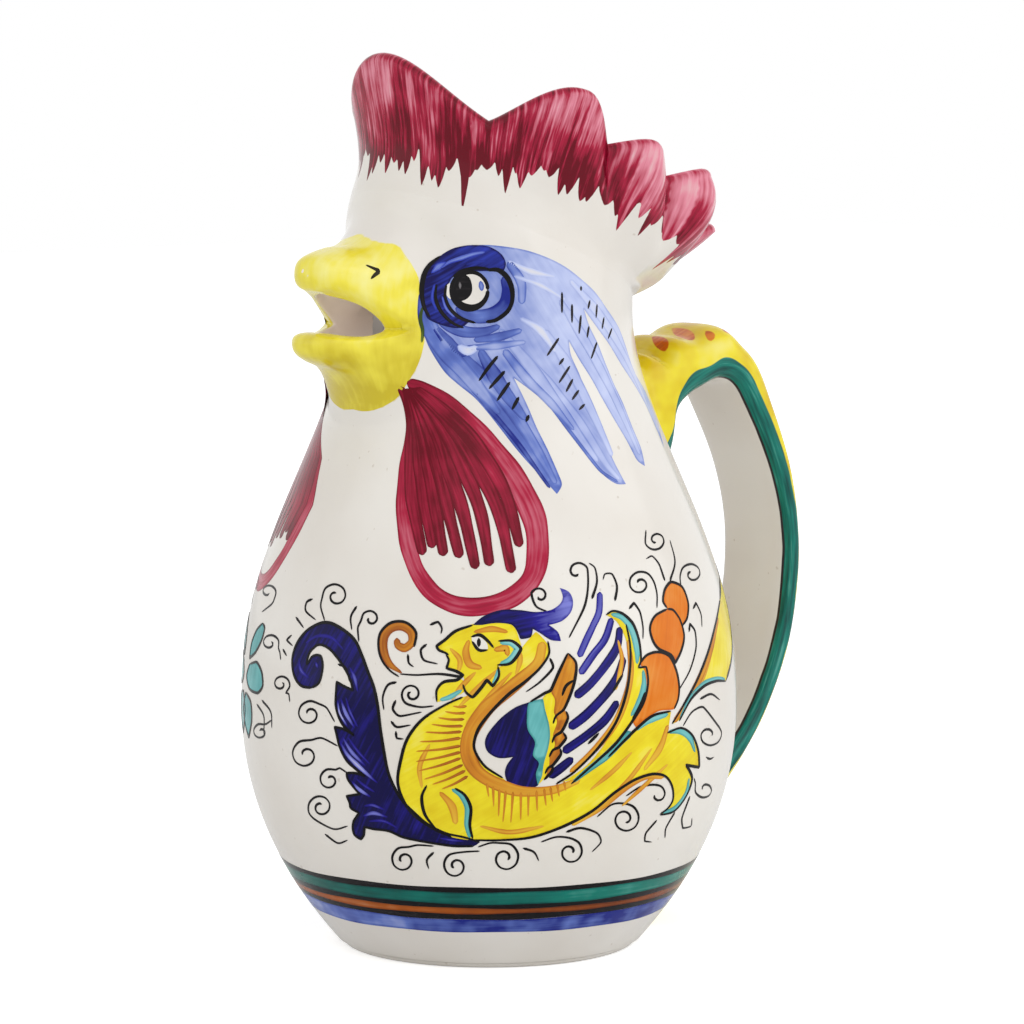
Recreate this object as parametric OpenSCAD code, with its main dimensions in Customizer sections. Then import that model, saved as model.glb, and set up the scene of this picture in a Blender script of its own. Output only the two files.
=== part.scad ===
// Rooster pitcher: a thrown earthenware jug with a pinched comb for a rim, an open
// beak for a spout and a pulled strap handle. The clay pieces are luted together.
// The beak points along -X, the handle along +X, and the jug stands on Z = 0.

/* [Body] */
// Radius of the foot where it meets the table
foot_r = 40; // [34:0.5:46]
// Height of the foot ring
foot_h = 4; // [3:0.5:6]
// Width of the foot ring's resting face
foot_w = 7; // [5:0.5:10]
// Rounding of the foot ring's outer edge
foot_round = 1.2; // [0.6:0.1:1.8]
// Radius of the belly at its widest
belly_r = 67.2; // [60:0.2:74]
// Height of the widest part of the belly
belly_z = 65; // [58:0.5:74]
// Radius of the head, which is a plain cylinder
head_r = 38.7; // [36:0.1:42]
// Height at which the shoulder has drawn in to the head
head_z = 172; // [168:0.5:178]
// Thickness of the thrown wall
wall = 4.5; // [3.5:0.1:5.5]
// Thickness of the floor inside
floor_t = 5; // [4:0.5:8]

/* [Comb] */
// Height of the comb's slanted seat, on the axis
seat_z = 188.8; // [186:0.1:192]
// Slant of the seat, higher at the beak
seat_tilt = 23; // [19:0.5:25]
// Rise of the tallest lobe over the seat
comb_rise = 41.8; // [36:0.2:46]
// How far the back of the comb leans out
comb_flare = 22.5; // [14:0.5:26]
// Thickness of the comb's wall, whose lip is a full round
comb_t = 4.5; // [3.5:0.1:4.5]

/* [Beak] */
// Length of the upper half of the beak, from the head to its tip
upper_len = 24; // [21:0.5:28]
// Length of the lower half of the beak, from the head to its tip
lower_len = 24.8; // [21:0.2:28]
// Width of the beak at the head
beak_w = 37; // [33:0.5:40]
// Height of the upper half over the mouth line, at the head
upper_rise = 23.5; // [20:0.5:26]
// Depth of the lower half under the mouth line, at the head
lower_drop = 22; // [19:0.5:25]
// Height of the mouth line
mouth_z = 169.2; // [167:0.2:171]
// Radius of the pouring hole through the head
pour_r = 14; // [11:0.5:14.5]

/* [Handle] */
// Width of the strap
strap_w = 28.5; // [24:0.5:32]
// Thickness of the strap along the grip
strap_t = 6; // [5:0.25:8]
// Distance from the axis to the middle of the strap at its widest swing
strap_reach = 101.2; // [96:0.1:108]
// Height of the strap's crown, at the middle of its thickness
strap_top_z = 156.2; // [153:0.2:161]
// Height of the strap's lower root, at the middle of its thickness
strap_low_z = 25; // [22:0.5:30]
// Height of the thumb ridges on the crown
ridge_h = 2.2; // [0.8:0.1:3]
// Distance from one thumb ridge to the next
ridge_pitch = 12.4; // [10:0.2:14]

/* [Hidden] */
$fn = 96;

glaze = "ivory";
crimson = "crimson";
lemon = "gold";

// Steps along the thrown profile, and how far a cut runs past the surface it cuts
profile_steps = 40;
foot_steps = 4;
overrun = 1;

// The foot flares out at this rate, radius over height, and the shoulder stays full by this power
foot_flare_share = 0.9;
shoulder_power = 1.2;

// The comb, from the beak to the back: angles of the lobes' crowns and of the folds
// between them, in degrees from the beak, and each one's share of comb_rise and comb_flare
lobe_angles = [0, 87, 114, 139, 161, 180];
fold_angles = [50, 101, 127, 151, 171];
lobe_rise_shares = [0.86, 1, 0.86, 0.8, 0.5, 0.46];
fold_rise_shares = [0.58, 0.75, 0.68, 0.43, 0.33];
lobe_flare_shares = [0, 0.3, 0.56, 1, 1.22, 1.26];
fold_flare_shares = [-0.04, 0.1, 0.36, 0.7, 1];
// Part of each lobe's outline that is a soft wave, and the rest is a plain arch
soft_shares = [0.55, 0.4, 0.1, 0.05, 0.05, 0.05];
// The wall leans out faster towards the lip
lean_power = 1.3;
// Some lobes bulge instead and roll in again at the lip, past upright by this share of a quarter
// turn. The bulge grows between the first two angles and fades between the last two
roll_share = 1.2;
bulge_angles = [85, 125, 140, 158];
comb_sides = 144;
comb_steps = 8;
lip_steps = 4;

// The beak, from the head to the tip: share of the length, share of the width, and the
// heights over the mouth line of the section's crown, of its widest place and of its lip,
// each a share of the rise or the drop. Up to the corner of the mouth the halves meet
upper_shares = [[-0.4, 0.92, 1.08, 0, -0.5], [0, 0.89, 1.03, 0, -0.5], [0.2, 0.83, 0.97, 0.03, -0.3],
                [0.4, 0.75, 0.93, 0.3, 0.12], [0.6, 0.62, 0.91, 0.47, 0.27], [0.8, 0.49, 0.86, 0.56, 0.4],
                [0.92, 0.37, 0.81, 0.6, 0.44], [0.98, 0.21, 0.74, 0.62, 0.52], [1, 0.04, 0.65, 0.62, 0.6]];
lower_shares = [[-0.4, 0.92, 1.12, 0, -0.5], [0, 0.89, 1.06, 0, -0.5], [0.2, 0.83, 0.9, 0.03, -0.2],
                [0.4, 0.75, 0.65, 0.1, 0.02], [0.6, 0.62, 0.5, 0.13, 0.03], [0.8, 0.5, 0.41, 0.15, 0.02],
                [0.92, 0.38, 0.34, 0.16, 0.04], [0.98, 0.22, 0.27, 0.16, 0.09], [1, 0.04, 0.18, 0.16, 0.14]];
// The hollow inside: share of the shorter length, and half sizes as shares of the pouring hole
hollow_shares = [[-0.5, 1, 1], [0.1, 0.96, 0.98], [0.35, 0.78, 0.84], [0.6, 0.53, 0.62], [0.78, 0.26, 0.36]];
beak_sides = 20;
beak_steps = 3;
// Squareness of the beak's sections
beak_power = 2.5;
// The pouring hole sits a little below the mouth line, and the hollow climbs towards the tips
pour_drop = 1;
hollow_climb = 6;

// The strap's middle line, from the upper root to the lower: share of the swing out from the
// head, share of the height between the roots, and shares of the strap's thickness that it is
// thick there and that its root spreads further down the neck
strap_shares = [[-0.1, 0.938, 2.5, 5.9], [0.12, 0.941, 2.5, 4], [0.225, 0.947, 2.5, 2.6],
                [0.265, 0.953, 2.5, 0.9], [0.31, 0.962, 2.5, 0.2], [0.4, 0.98, 2.45, 0],
                [0.56, 1, 2.3, 0], [0.705, 0.97, 1.9, 0],
                [0.82, 0.88, 1.4, 0], [0.935, 0.76, 1.1, 0], [0.995, 0.64, 1, 0], [1, 0.52, 1, 0],
                [0.945, 0.38, 1, 0], [0.82, 0.25, 1, 0], [0.68, 0.16, 1.1, 0], [0.52, 0.083, 1.3, 0],
                [0.33, 0.005, 1.9, 0], [0.02, -0.08, 2.6, 0]];
strap_sides = 24;
strap_steps = 4;
// Squareness of the strap's section: 2 is an ellipse
strap_power = 3.2;
// The thumb ridges start this far out from the head, on the upper half of the strap's run
ridge_count = 3;
ridge_start = 5;
ridge_run_share = 0.5;

// Smooth step from a to b with end slopes da and db, for t from 0 to 1
function hermite(t, a, b, da, db) =
    a * (1 + 2 * t) * pow(1 - t, 2) + da * t * pow(1 - t, 2) + b * t * t * (3 - 2 * t) - db * t * t * (1 - t);

// Smooth curve through a list of points, for s from 0 to the last index
function through(list, s) =
    let(last = len(list) - 1,
        i = min(floor(s), last - 1),
        t = s - i,
        p = list[i],
        q = list[i + 1],
        dp = i == 0 ? q - p : (q - list[i - 1]) / 2,
        dq = i + 1 == last ? q - p : (list[i + 2] - p) / 2)
    hermite(t, p, q, dp, dq);

// Outer radius of the thrown form at height z
function form_r(z) =
    z < belly_z ? hermite(z / belly_z, foot_r, belly_r, foot_flare_share * belly_z, 0)
    : z < head_z ? hermite(pow((z - belly_z) / (head_z - belly_z), shoulder_power), belly_r, head_r, 0, 0)
    : head_r;

// How fast the radius grows with height, over one step of the profile
function form_slope(z) =
    let(step = head_z / profile_steps)
    (form_r(z + step) - form_r(z - step)) / (2 * step);

// Inner radius, a wall's thickness in from the outer face
function inner_r(z) = form_r(z) - wall * sqrt(1 + pow(form_slope(z), 2));

// Height of the slanted seat at a place along X
function seat_at(x) = seat_z - x * tan(seat_tilt);

// One closed solid over rings of points that all have the same number of points
module loft(rings) {
    n = len(rings[0]);
    last = len(rings) - 1;
    sides = [for (i = [0 : last - 1], j = [0 : n - 1], half = [0, 1])
        let(a = i * n + j, b = i * n + (j + 1) % n)
        half == 0 ? [a, b, b + n] : [a, b + n, a + n]];
    first_cap = [[for (j = [n - 1 : -1 : 0]) j]];
    last_cap = [[for (j = [0 : n - 1]) last * n + j]];
    polyhedron([for (ring = rings) each ring], concat(sides, first_cap, last_cap), convexity = 6);
}

// One closed solid over rings that run round in a circle and meet again
module ring_loft(rings) {
    n = len(rings[0]);
    m = len(rings);
    faces = [for (i = [0 : m - 1], j = [0 : n - 1], half = [0, 1])
        let(k = (i + 1) % m, l = (j + 1) % n, a = i * n + j, b = i * n + l, c = k * n + l, d = k * n + j)
        half == 0 ? [a, c, b] : [a, d, c]];
    polyhedron([for (ring = rings) each ring], faces, convexity = 8);
}

// The thrown form as a solid, up to a height
module thrown_form(top) {
    heights = [for (i = [0 : profile_steps]) top * i / profile_steps];
    rotate_extrude() polygon(concat([[0, 0]], [for (z = heights) [form_r(z), z]], [[0, top]]));
}

// Everything above the comb's seat
module above_seat() {
    span = 4 * belly_r;
    translate([0, 0, seat_z])
        rotate([0, seat_tilt, 0])
            translate([-span / 2, -span / 2, 0]) cube(span);
}

module foot_ring() {
    inside = foot_r - foot_round - foot_w;
    corner = [foot_r - foot_round, foot_round];
    edge = [for (a = [-90 : 15 : 0]) corner + foot_round * [cos(a), sin(a)]];
    side = [for (i = [1 : foot_steps])
        let(z = foot_round + (foot_h - foot_round) * i / foot_steps)
        [form_r(z), z]];
    color(glaze) rotate_extrude() polygon(concat([[inside, 0]], edge, side, [[inside, foot_h]]));
}

module body() {
    top = seat_at(-head_r) + overrun;
    floor_z = foot_h + floor_t;
    outer = [for (i = [0 : profile_steps])
        let(z = foot_h + (top - foot_h) * i / profile_steps)
        [form_r(z), z]];
    inner = [for (i = [profile_steps : -1 : 0])
        let(z = floor_z + (top - floor_z) * i / profile_steps)
        [inner_r(z), z]];
    color(glaze)
        difference() {
            rotate_extrude() polygon(concat([[0, foot_h]], outer, inner, [[0, floor_z]]));
            above_seat();
            translate([0, 0, mouth_z - pour_drop]) rotate([0, -90, 0]) cylinder(r = pour_r, h = belly_r);
        }
}

// Value round the comb at an angle from the beak, from the lobes' and the folds' values
function comb_value(angle, lobes, folds) =
    let(a = abs(angle),
        i = len([for (f = fold_angles) if (f < a) f]),
        after = a > lobe_angles[i],
        fold = after ? i : i - 1,
        fold_angle = fold < 0 || fold >= len(folds) ? -fold_angles[0] : fold_angles[fold],
        fold_value = fold < 0 ? folds[0] : folds[min(fold, len(folds) - 1)],
        u = a == lobe_angles[i] ? 1 : 1 - abs(a - lobe_angles[i]) / abs(fold_angle - lobe_angles[i]),
        arch = sin(90 * u),
        wave = (1 - cos(180 * u)) / 2)
    fold_value + (lobes[i] - fold_value) * (arch + (wave - arch) * soft_shares[i]);

// Soft step from 0 to 1
function ease(t) =
    let(u = max(0, min(1, t)))
    u * u * (3 - 2 * u);

// Part of the flare that the wall has reached at a part v of its height
function lean_at(angle, v) =
    let(a = abs(angle),
        plain = pow(v, lean_power),
        rolled = pow(sin(90 * roll_share * v), lean_power),
        grown = ease((a - bulge_angles[0]) / (bulge_angles[1] - bulge_angles[0])),
        kept = ease((bulge_angles[3] - a) / (bulge_angles[3] - bulge_angles[2])))
    plain + (rolled - plain) * grown * kept;

// Closed outline of the comb's wall at one angle, from the seat up over the lip and down
function comb_section(angle) =
    let(rise = comb_rise * comb_value(angle, lobe_rise_shares, fold_rise_shares),
        flare = comb_flare * comb_value(angle, lobe_flare_shares, fold_flare_shares),
        lip = comb_t / 2,
        out = [for (i = [0 : comb_steps]) let(v = i / comb_steps) [head_r + flare * lean_at(angle, v), v]],
        face = function(r, v)
            let(seat_r = r * (1 - v) + head_r * v)
            [-r * cos(angle), -r * sin(angle), seat_at(-seat_r * cos(angle)) + (rise - lip) * v],
        crown = face(out[comb_steps][0] - lip, 1))
    concat([for (p = out) face(p[0], p[1])],
           [for (i = [1 : lip_steps - 1]) let(a = 180 * i / lip_steps)
               crown + [-lip * cos(a) * cos(angle), -lip * cos(a) * sin(angle), lip * sin(a)]],
           [for (i = [comb_steps : -1 : 1]) face(out[i][0] - comb_t, out[i][1])],
           [face(head_r - wall, 0)]);

module comb() {
    color(crimson) ring_loft([for (i = [0 : comb_sides - 1]) comb_section(360 * i / comb_sides - 180)]);
}

// Round corner of a section: a power curve between an ellipse, of power 2, and a box
function squared(c, power) = sign(c) * pow(abs(c), 2 / power);

// Half of the beak: egg sections, flatter on the mouth's side, cut flat at the mouth line.
// side is 1 above the mouth and -1 below it
module beak_half(shares, length, depth, side) {
    stations = (len(shares) - 1) * beak_steps;
    span = 2 * belly_r;
    difference() {
        loft([for (i = [0 : stations])
            let(s = through(shares, i / beak_steps),
                x = -head_r - length * s[0],
                half_w = beak_w / 2 * s[1])
            [for (j = [0 : beak_sides - 1])
                let(a = side * 360 * j / beak_sides,
                    up = squared(side * sin(a), beak_power),
                    reach = up > 0 ? s[2] - s[3] : s[3] - s[4])
                [x, half_w * squared(cos(a), beak_power), mouth_z + side * depth * (s[3] + reach * up)]]]);
        translate([-span, -span / 2, side > 0 ? mouth_z - span : mouth_z]) cube(span);
        beak_hollow();
        thrown_form(seat_at(-head_r));
    }
}

// The hollow that leads from the pouring hole to the open mouth
module beak_hollow() {
    stations = (len(hollow_shares) - 1) * beak_steps;
    length = min(upper_len, lower_len);
    loft([for (i = [0 : stations])
        let(s = through(hollow_shares, i / beak_steps))
        [for (j = [0 : beak_sides - 1]) let(a = 360 * j / beak_sides)
            [-head_r - length * s[0], pour_r * s[1] * cos(a),
             mouth_z - pour_drop + hollow_climb * max(0, s[0]) + pour_r * s[2] * sin(a)]]]);
}

module upper_beak() {
    color(lemon) beak_half(upper_shares, upper_len, upper_rise, 1);
}

module lower_beak() {
    color(lemon) beak_half(lower_shares, lower_len, lower_drop, -1);
}

// Middle line of the strap in the XZ plane, with its half thicknesses outside and inside
function strap_at(s) =
    let(p = through(strap_shares, s))
    [head_r + (strap_reach - head_r) * p[0], strap_low_z + (strap_top_z - strap_low_z) * p[1],
     strap_t * p[2] / 2, strap_t * (p[2] / 2 + max(0, p[3]))];

// Height of the thumb ridges at a place along X
function ridge_at(x) =
    let(turn = (x - head_r - ridge_start) / ridge_pitch)
    turn < 0 || turn > ridge_count ? 0 : ridge_h * (1 - cos(360 * turn)) / 2;

module handle() {
    last = len(strap_shares) - 1;
    stations = last * strap_steps;
    nudge = 1 / (2 * strap_steps);
    color(lemon)
        difference() {
            loft([for (i = [0 : stations])
                let(s = i / strap_steps,
                    here = strap_at(s),
                    ahead = strap_at(min(last, s + nudge)) - strap_at(max(0, s - nudge)),
                    run = norm([ahead[0], ahead[1]]),
                    out = [-ahead[1] / run, ahead[0] / run],
                    ridge = s < ridge_run_share * last ? ridge_at(here[0]) : 0)
                [for (j = [0 : strap_sides - 1])
                    let(a = 360 * j / strap_sides,
                        half_t = sin(a) > 0 ? here[2] + ridge : here[3],
                        lift = half_t * squared(sin(a), strap_power))
                    [here[0] + out[0] * lift, strap_w / 2 * squared(cos(a), strap_power),
                     here[1] + out[1] * lift]]]);
            thrown_form(seat_z);
        }
}

foot_ring();
body();
comb();
upper_beak();
lower_beak();
handle();
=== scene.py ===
"""Rooster pitcher: a hand-painted tin-glazed jug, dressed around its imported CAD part."""
import math
from itertools import product

import bpy
import numpy as np
from mathutils import Matrix, Vector
from mathutils.bvhtree import BVHTree
from mathutils.geometry import delaunay_2d_cdt


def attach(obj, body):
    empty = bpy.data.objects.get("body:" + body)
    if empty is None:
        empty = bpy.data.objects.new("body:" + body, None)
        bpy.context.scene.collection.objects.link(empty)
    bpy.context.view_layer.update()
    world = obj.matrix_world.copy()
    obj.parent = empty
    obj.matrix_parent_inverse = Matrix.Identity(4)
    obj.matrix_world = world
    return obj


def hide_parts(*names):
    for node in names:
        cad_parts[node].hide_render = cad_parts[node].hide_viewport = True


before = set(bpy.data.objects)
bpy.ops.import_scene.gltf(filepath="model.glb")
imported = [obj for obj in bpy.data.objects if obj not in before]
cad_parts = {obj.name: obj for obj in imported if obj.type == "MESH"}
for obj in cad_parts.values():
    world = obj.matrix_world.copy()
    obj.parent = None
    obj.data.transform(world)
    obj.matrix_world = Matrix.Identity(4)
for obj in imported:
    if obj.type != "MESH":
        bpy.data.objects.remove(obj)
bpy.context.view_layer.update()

# Sizes in millimetres, the same as the CAD part's
MM = 0.001
FOOT_R = 40.0
FOOT_H = 4.0
FOOT_W = 7.0
FOOT_ROUND = 1.2
FOOT_FLARE_SHARE = 0.9
BELLY_R = 67.2
BELLY_Z = 65.0
HEAD_R = 38.7
HEAD_Z = 172.0
SHOULDER_POWER = 1.2
WALL = 4.5
FLOOR_Z = 9.0
SEAT_Z = 188.8
SEAT_SLOPE = math.tan(math.radians(23))
COMB_RISE = 41.8
COMB_FLARE = 22.5
COMB_T = 4.5
UPPER_LEN = 24.0
LOWER_LEN = 24.8
BEAK_W = 37.0
UPPER_RISE = 23.5
LOWER_DROP = 22.0
MOUTH_Z = 169.2
POUR_R = 14.0
POUR_DROP = 1.0
HOLLOW_CLIMB = 6.0
STRAP_W = 28.5
STRAP_T = 6.0
STRAP_REACH = 101.2
STRAP_TOP_Z = 156.2
STRAP_LOW_Z = 25.0
RIDGE_H = 2.2
RIDGE_PITCH = 12.4
RIDGE_START = 5.0
RIDGE_COUNT = 3

# The camera stands where the photograph was taken from
EYE = Vector((-0.8035, -0.9576, 0.254))
AHEAD = Vector((0.6427, 0.7583, -0.1088))
RIGHT = Vector((0.7629, -0.6466, 0.0))
UP = Vector((0.0704, 0.083, 0.9941))
PICTURE = 1024
FOCAL_PX = 4646.4
SENSOR_MM = 36.0


def make_camera():
    data = bpy.data.cameras.new("camera")
    data.sensor_width = SENSOR_MM
    data.lens = FOCAL_PX / PICTURE * SENSOR_MM
    data.clip_end = 20
    camera = bpy.data.objects.new("camera", data)
    turn = Matrix((RIGHT, UP, -AHEAD)).transposed()
    camera.matrix_world = Matrix.Translation(EYE) @ turn.to_4x4()
    bpy.context.scene.collection.objects.link(camera)
    bpy.context.scene.camera = camera


# Curves and the thrown form
SLOPE_STEP = 0.05
LEAST_LENGTH = 1e-9


def hermite(t, a, b, da, db):
    """Curve from a to b that leaves and arrives at the slopes da and db."""
    start = a * (1 + 2 * t) * (1 - t) ** 2 + da * t * (1 - t) ** 2
    return start + b * t * t * (3 - 2 * t) - db * t * t * (1 - t)


def through(points, steps):
    """Smooth curve through points, with a number of steps from each point to the next."""
    points = np.asarray(points, float)
    last = len(points) - 1
    slope = np.empty_like(points)
    slope[1:-1] = (points[2:] - points[:-2]) / 2
    slope[0] = points[1] - points[0]
    slope[-1] = points[-1] - points[-2]
    s = np.linspace(0, last, last * steps + 1)
    i = np.minimum(s.astype(int), last - 1)
    t = (s - i).reshape((-1,) + (1,) * (points.ndim - 1))
    return hermite(t, points[i], points[i + 1], slope[i], slope[i + 1])


def smooth_step(low, high, x):
    t = np.clip((x - low) / (high - low), 0, 1)
    return t * t * (3 - 2 * t)


def bell(x):
    return np.exp(-0.5 * x ** 2)


def unit(vectors):
    return vectors / np.maximum(np.linalg.norm(vectors, axis=-1, keepdims=True), LEAST_LENGTH)


def wrapped(angle, turn=2 * math.pi):
    """Angle brought to within half a turn of the beak."""
    return (np.asarray(angle, float) + turn / 2) % turn - turn / 2


def turn_of(points):
    """Angle from the beak at which points stand, in radians."""
    return np.arctan2(-points[..., 1], -points[..., 0])


def reach_of(points):
    """How far points stand from the vessel's axis."""
    return np.hypot(points[..., 0], points[..., 1])


def form_radius(z):
    """Radius of the thrown form."""
    z = np.asarray(z, float)
    low = hermite(np.clip(z / BELLY_Z, 0, 1), FOOT_R, BELLY_R, FOOT_FLARE_SHARE * BELLY_Z, 0)
    share = np.clip((z - BELLY_Z) / (HEAD_Z - BELLY_Z), 0, 1) ** SHOULDER_POWER
    high = hermite(share, BELLY_R, HEAD_R, 0, 0)
    return np.where(z < BELLY_Z, low, high)


def form_slope(z):
    return (form_radius(z + SLOPE_STEP) - form_radius(z - SLOPE_STEP)) / (2 * SLOPE_STEP)


def turned(radius, psi, z):
    """Point at an angle from the beak, in radians, growing towards the side that the camera sees."""
    radius, psi, z = np.broadcast_arrays(radius, psi, z)
    return np.stack([-radius * np.cos(psi), -radius * np.sin(psi), z], -1)


# Soft cheeks that swell the head round the beak, and a slight waist under the front of the comb
CHEEK_PROUD = 7.0
CHEEK_TURN = 0.85
CHEEK_TALL = 32.0
CHEEK_Z = 170.0
WAIST_IN = 3.9
WAIST_RISE = 11.0
WAIST_TALLS = (11.0, 18.0)
WAIST_TURNS = (0.9, 2.0)


def waist(psi, z):
    """How far the wall is drawn in at the comb's seat."""
    turn = np.abs(wrapped(psi))
    above = z - WAIST_RISE - SEAT_Z - HEAD_R * np.cos(psi) * SEAT_SLOPE
    tall = np.where(above < 0, *WAIST_TALLS)
    return WAIST_IN * np.exp(-(above / tall) ** 2) * (1 - smooth_step(*WAIST_TURNS, turn))


def skin_radius(psi, z):
    """Radius of the vessel's outer face: the thrown form with its cheeks and waist."""
    cheek = np.clip(1 - (wrapped(psi) / CHEEK_TURN) ** 2 - ((z - CHEEK_Z) / CHEEK_TALL) ** 2, 0, 1)
    return form_radius(z) + CHEEK_PROUD * cheek ** 2 - waist(psi, z)


def skin(psi, z):
    """Points of the vessel's outer face, with their normals."""
    psi, z = np.broadcast_arrays(np.asarray(psi, float), np.asarray(z, float))
    step = SLOPE_STEP
    turn = step / HEAD_R
    radius = skin_radius(psi, z)
    rise = (skin_radius(psi, z + step) - skin_radius(psi, z - step)) / (2 * step)
    swing = (skin_radius(psi + turn, z) - skin_radius(psi - turn, z)) / (2 * step) * HEAD_R / radius
    out_x, out_y = -np.cos(psi), -np.sin(psi)
    normals = np.stack([out_x + swing * out_y, out_y - swing * out_x, -rise], -1)
    return turned(radius, psi, z), unit(normals)


# Meshes
def add_object(name, points, faces, normals=None, attributes=None):
    """Adds a smooth mesh, with a value or a vector of each attribute at every point."""
    mesh = bpy.data.meshes.new(name)
    mesh.from_pydata((np.asarray(points).reshape(-1, 3) * MM).tolist(), [], faces)
    mesh.polygons.foreach_set("use_smooth", [True] * len(mesh.polygons))
    for key, values in (attributes or {}).items():
        values = np.asarray(values, np.float32)
        flat = values.ndim == 1
        layer = mesh.attributes.new(key, "FLOAT" if flat else "FLOAT_VECTOR", "POINT")
        layer.data.foreach_set("value" if flat else "vector", values.ravel())
    mesh.update()
    if normals is not None:
        mesh.normals_split_custom_set_from_vertices(np.asarray(normals).reshape(-1, 3).tolist())
    item = bpy.data.objects.new(name, mesh)
    bpy.context.scene.collection.objects.link(item)
    return item


def grid_faces(rows, columns, closed=True, flip=False, start=0, keep=None):
    """Quads of a grid whose points lie row by row. A closed grid meets itself round its columns."""
    wide = columns if closed else columns - 1
    i, j = np.meshgrid(np.arange(rows - 1), np.arange(wide), indexing="ij")
    if keep is not None:
        i, j = i[keep], j[keep]
    i, j = i.ravel(), j.ravel()
    k = (j + 1) % columns
    quads = np.stack([i * columns + j, i * columns + k, (i + 1) * columns + k, (i + 1) * columns + j], -1)
    return (quads[:, ::-1] if flip else quads) + start


def closed_faces(rows, columns):
    """Faces of a grid that is closed round its columns and its rows."""
    first = np.arange(columns)
    last = (rows - 1) * columns + first
    closing = np.stack([last, np.roll(last, -1), np.roll(first, -1), first], -1)
    return grid_faces(rows, columns).tolist() + closing.tolist()


def grid_normals(points):
    """Normals of a grid that is closed round its columns and its rows."""
    along = np.roll(points, -1, 0) - np.roll(points, 1, 0)
    round_about = np.roll(points, -1, 1) - np.roll(points, 1, 1)
    return unit(np.cross(round_about, along))


def disc_faces(ring, centre, up):
    """Triangles from a ring of point numbers to a centre point."""
    return [[a, b, centre] if up else [b, a, centre] for a, b in zip(ring, np.roll(ring, -1))]


# The vessel, two grids that meet at the comb's seat and at the pouring hole, and its foot ring
COLUMNS = 360
ROWS = 140
HOLE_MARGIN = 1.5
EDGE_IN = 0.6
CORNER_RISE = 12.0
CORNER_SHARE = 0.86
FOOT_EDGE_STEPS = 9
FOOT_SIDE_STEPS = 6
FOOT_INNER_ROUND = 0.5


def make_vessel():
    psi = 2 * math.pi * np.arange(COLUMNS) / COLUMNS
    t = np.linspace(0, 1, ROWS + 1)[:, None]
    seat_out = SEAT_Z + HEAD_R * np.cos(psi) * SEAT_SLOPE
    seat_in = SEAT_Z + (HEAD_R - WALL) * np.cos(psi) * SEAT_SLOPE
    z_out = FOOT_H + t * (seat_out - FOOT_H)
    z_in = FLOOR_Z + t * (seat_in - FLOOR_Z)
    outer, outer_normals = skin(psi[None, :], z_out)
    lean = np.sqrt(1 + form_slope(z_in) ** 2)
    corner = np.sqrt(smooth_step(0, CORNER_RISE, z_in - FLOOR_Z))
    rounding = CORNER_SHARE + (1 - CORNER_SHARE) * corner
    inner_radius = (form_radius(z_in) - WALL * lean) * rounding - waist(psi[None, :], z_in)
    inner = turned(inner_radius, psi[None, :], z_in)
    middle = (outer[1:] + outer[:-1]) / 2
    middle = (middle + np.roll(middle, -1, 1)) / 2
    off_axis = np.hypot(middle[..., 1], middle[..., 2] - (MOUTH_Z - POUR_DROP))
    hole = (off_axis < POUR_R + HOLE_MARGIN) & (middle[..., 0] < 0)
    count = (ROWS + 1) * COLUMNS
    faces = grid_faces(ROWS + 1, COLUMNS, keep=~hole).tolist()
    faces += grid_faces(ROWS + 1, COLUMNS, flip=True, start=count, keep=~hole).tolist()
    for i, j in np.argwhere(hole):
        k = (j + 1) % COLUMNS
        around = [((i - 1, j), (i, j), (i, k)), ((i + 1, j), (i + 1, k), (i + 1, j)),
                  ((i, j - 1), (i + 1, j), (i, j)), ((i, k), (i, k), (i + 1, k))]
        for cell, a, b in around:
            if not hole[cell]:
                first = a[0] * COLUMNS + a[1]
                second = b[0] * COLUMNS + b[1]
                faces.append([second, first, first + count, second + count])
    ring = np.arange(COLUMNS)
    top = ROWS * COLUMNS
    faces += [[a + top, b + top, b + top + count, a + top + count] for a, b in zip(ring, np.roll(ring, -1))]
    under = turned(form_radius(FOOT_H) - EDGE_IN, psi, FOOT_H)
    within = turned(inner_radius[0] - EDGE_IN, psi, FLOOR_Z)
    rings = 2 * count + np.arange(2 * COLUMNS).reshape(2, COLUMNS)
    faces += np.stack([ring, rings[0], np.roll(rings[0], -1), np.roll(ring, -1)], -1).tolist()
    low = ring + count
    faces += np.stack([low, np.roll(low, -1), np.roll(rings[1], -1), rings[1]], -1).tolist()
    centres = np.array([[0, 0, FOOT_H], [0, 0, FLOOR_Z]])
    faces += disc_faces(rings[0], 2 * count + 2 * COLUMNS, False)
    faces += disc_faces(rings[1], 2 * count + 2 * COLUMNS + 1, True)
    down = np.tile([0, 0, -1.0], (COLUMNS, 1))
    inner_normals = -skin(psi[None, :], z_in)[1]
    points = np.concatenate([outer.reshape(-1, 3), inner.reshape(-1, 3), under, within, centres])
    normals = np.concatenate([outer_normals.reshape(-1, 3), inner_normals.reshape(-1, 3),
                              down, -down, [[0, 0, -1], [0, 0, 1]]])
    return add_object("vessel", points, faces, normals)


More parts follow.
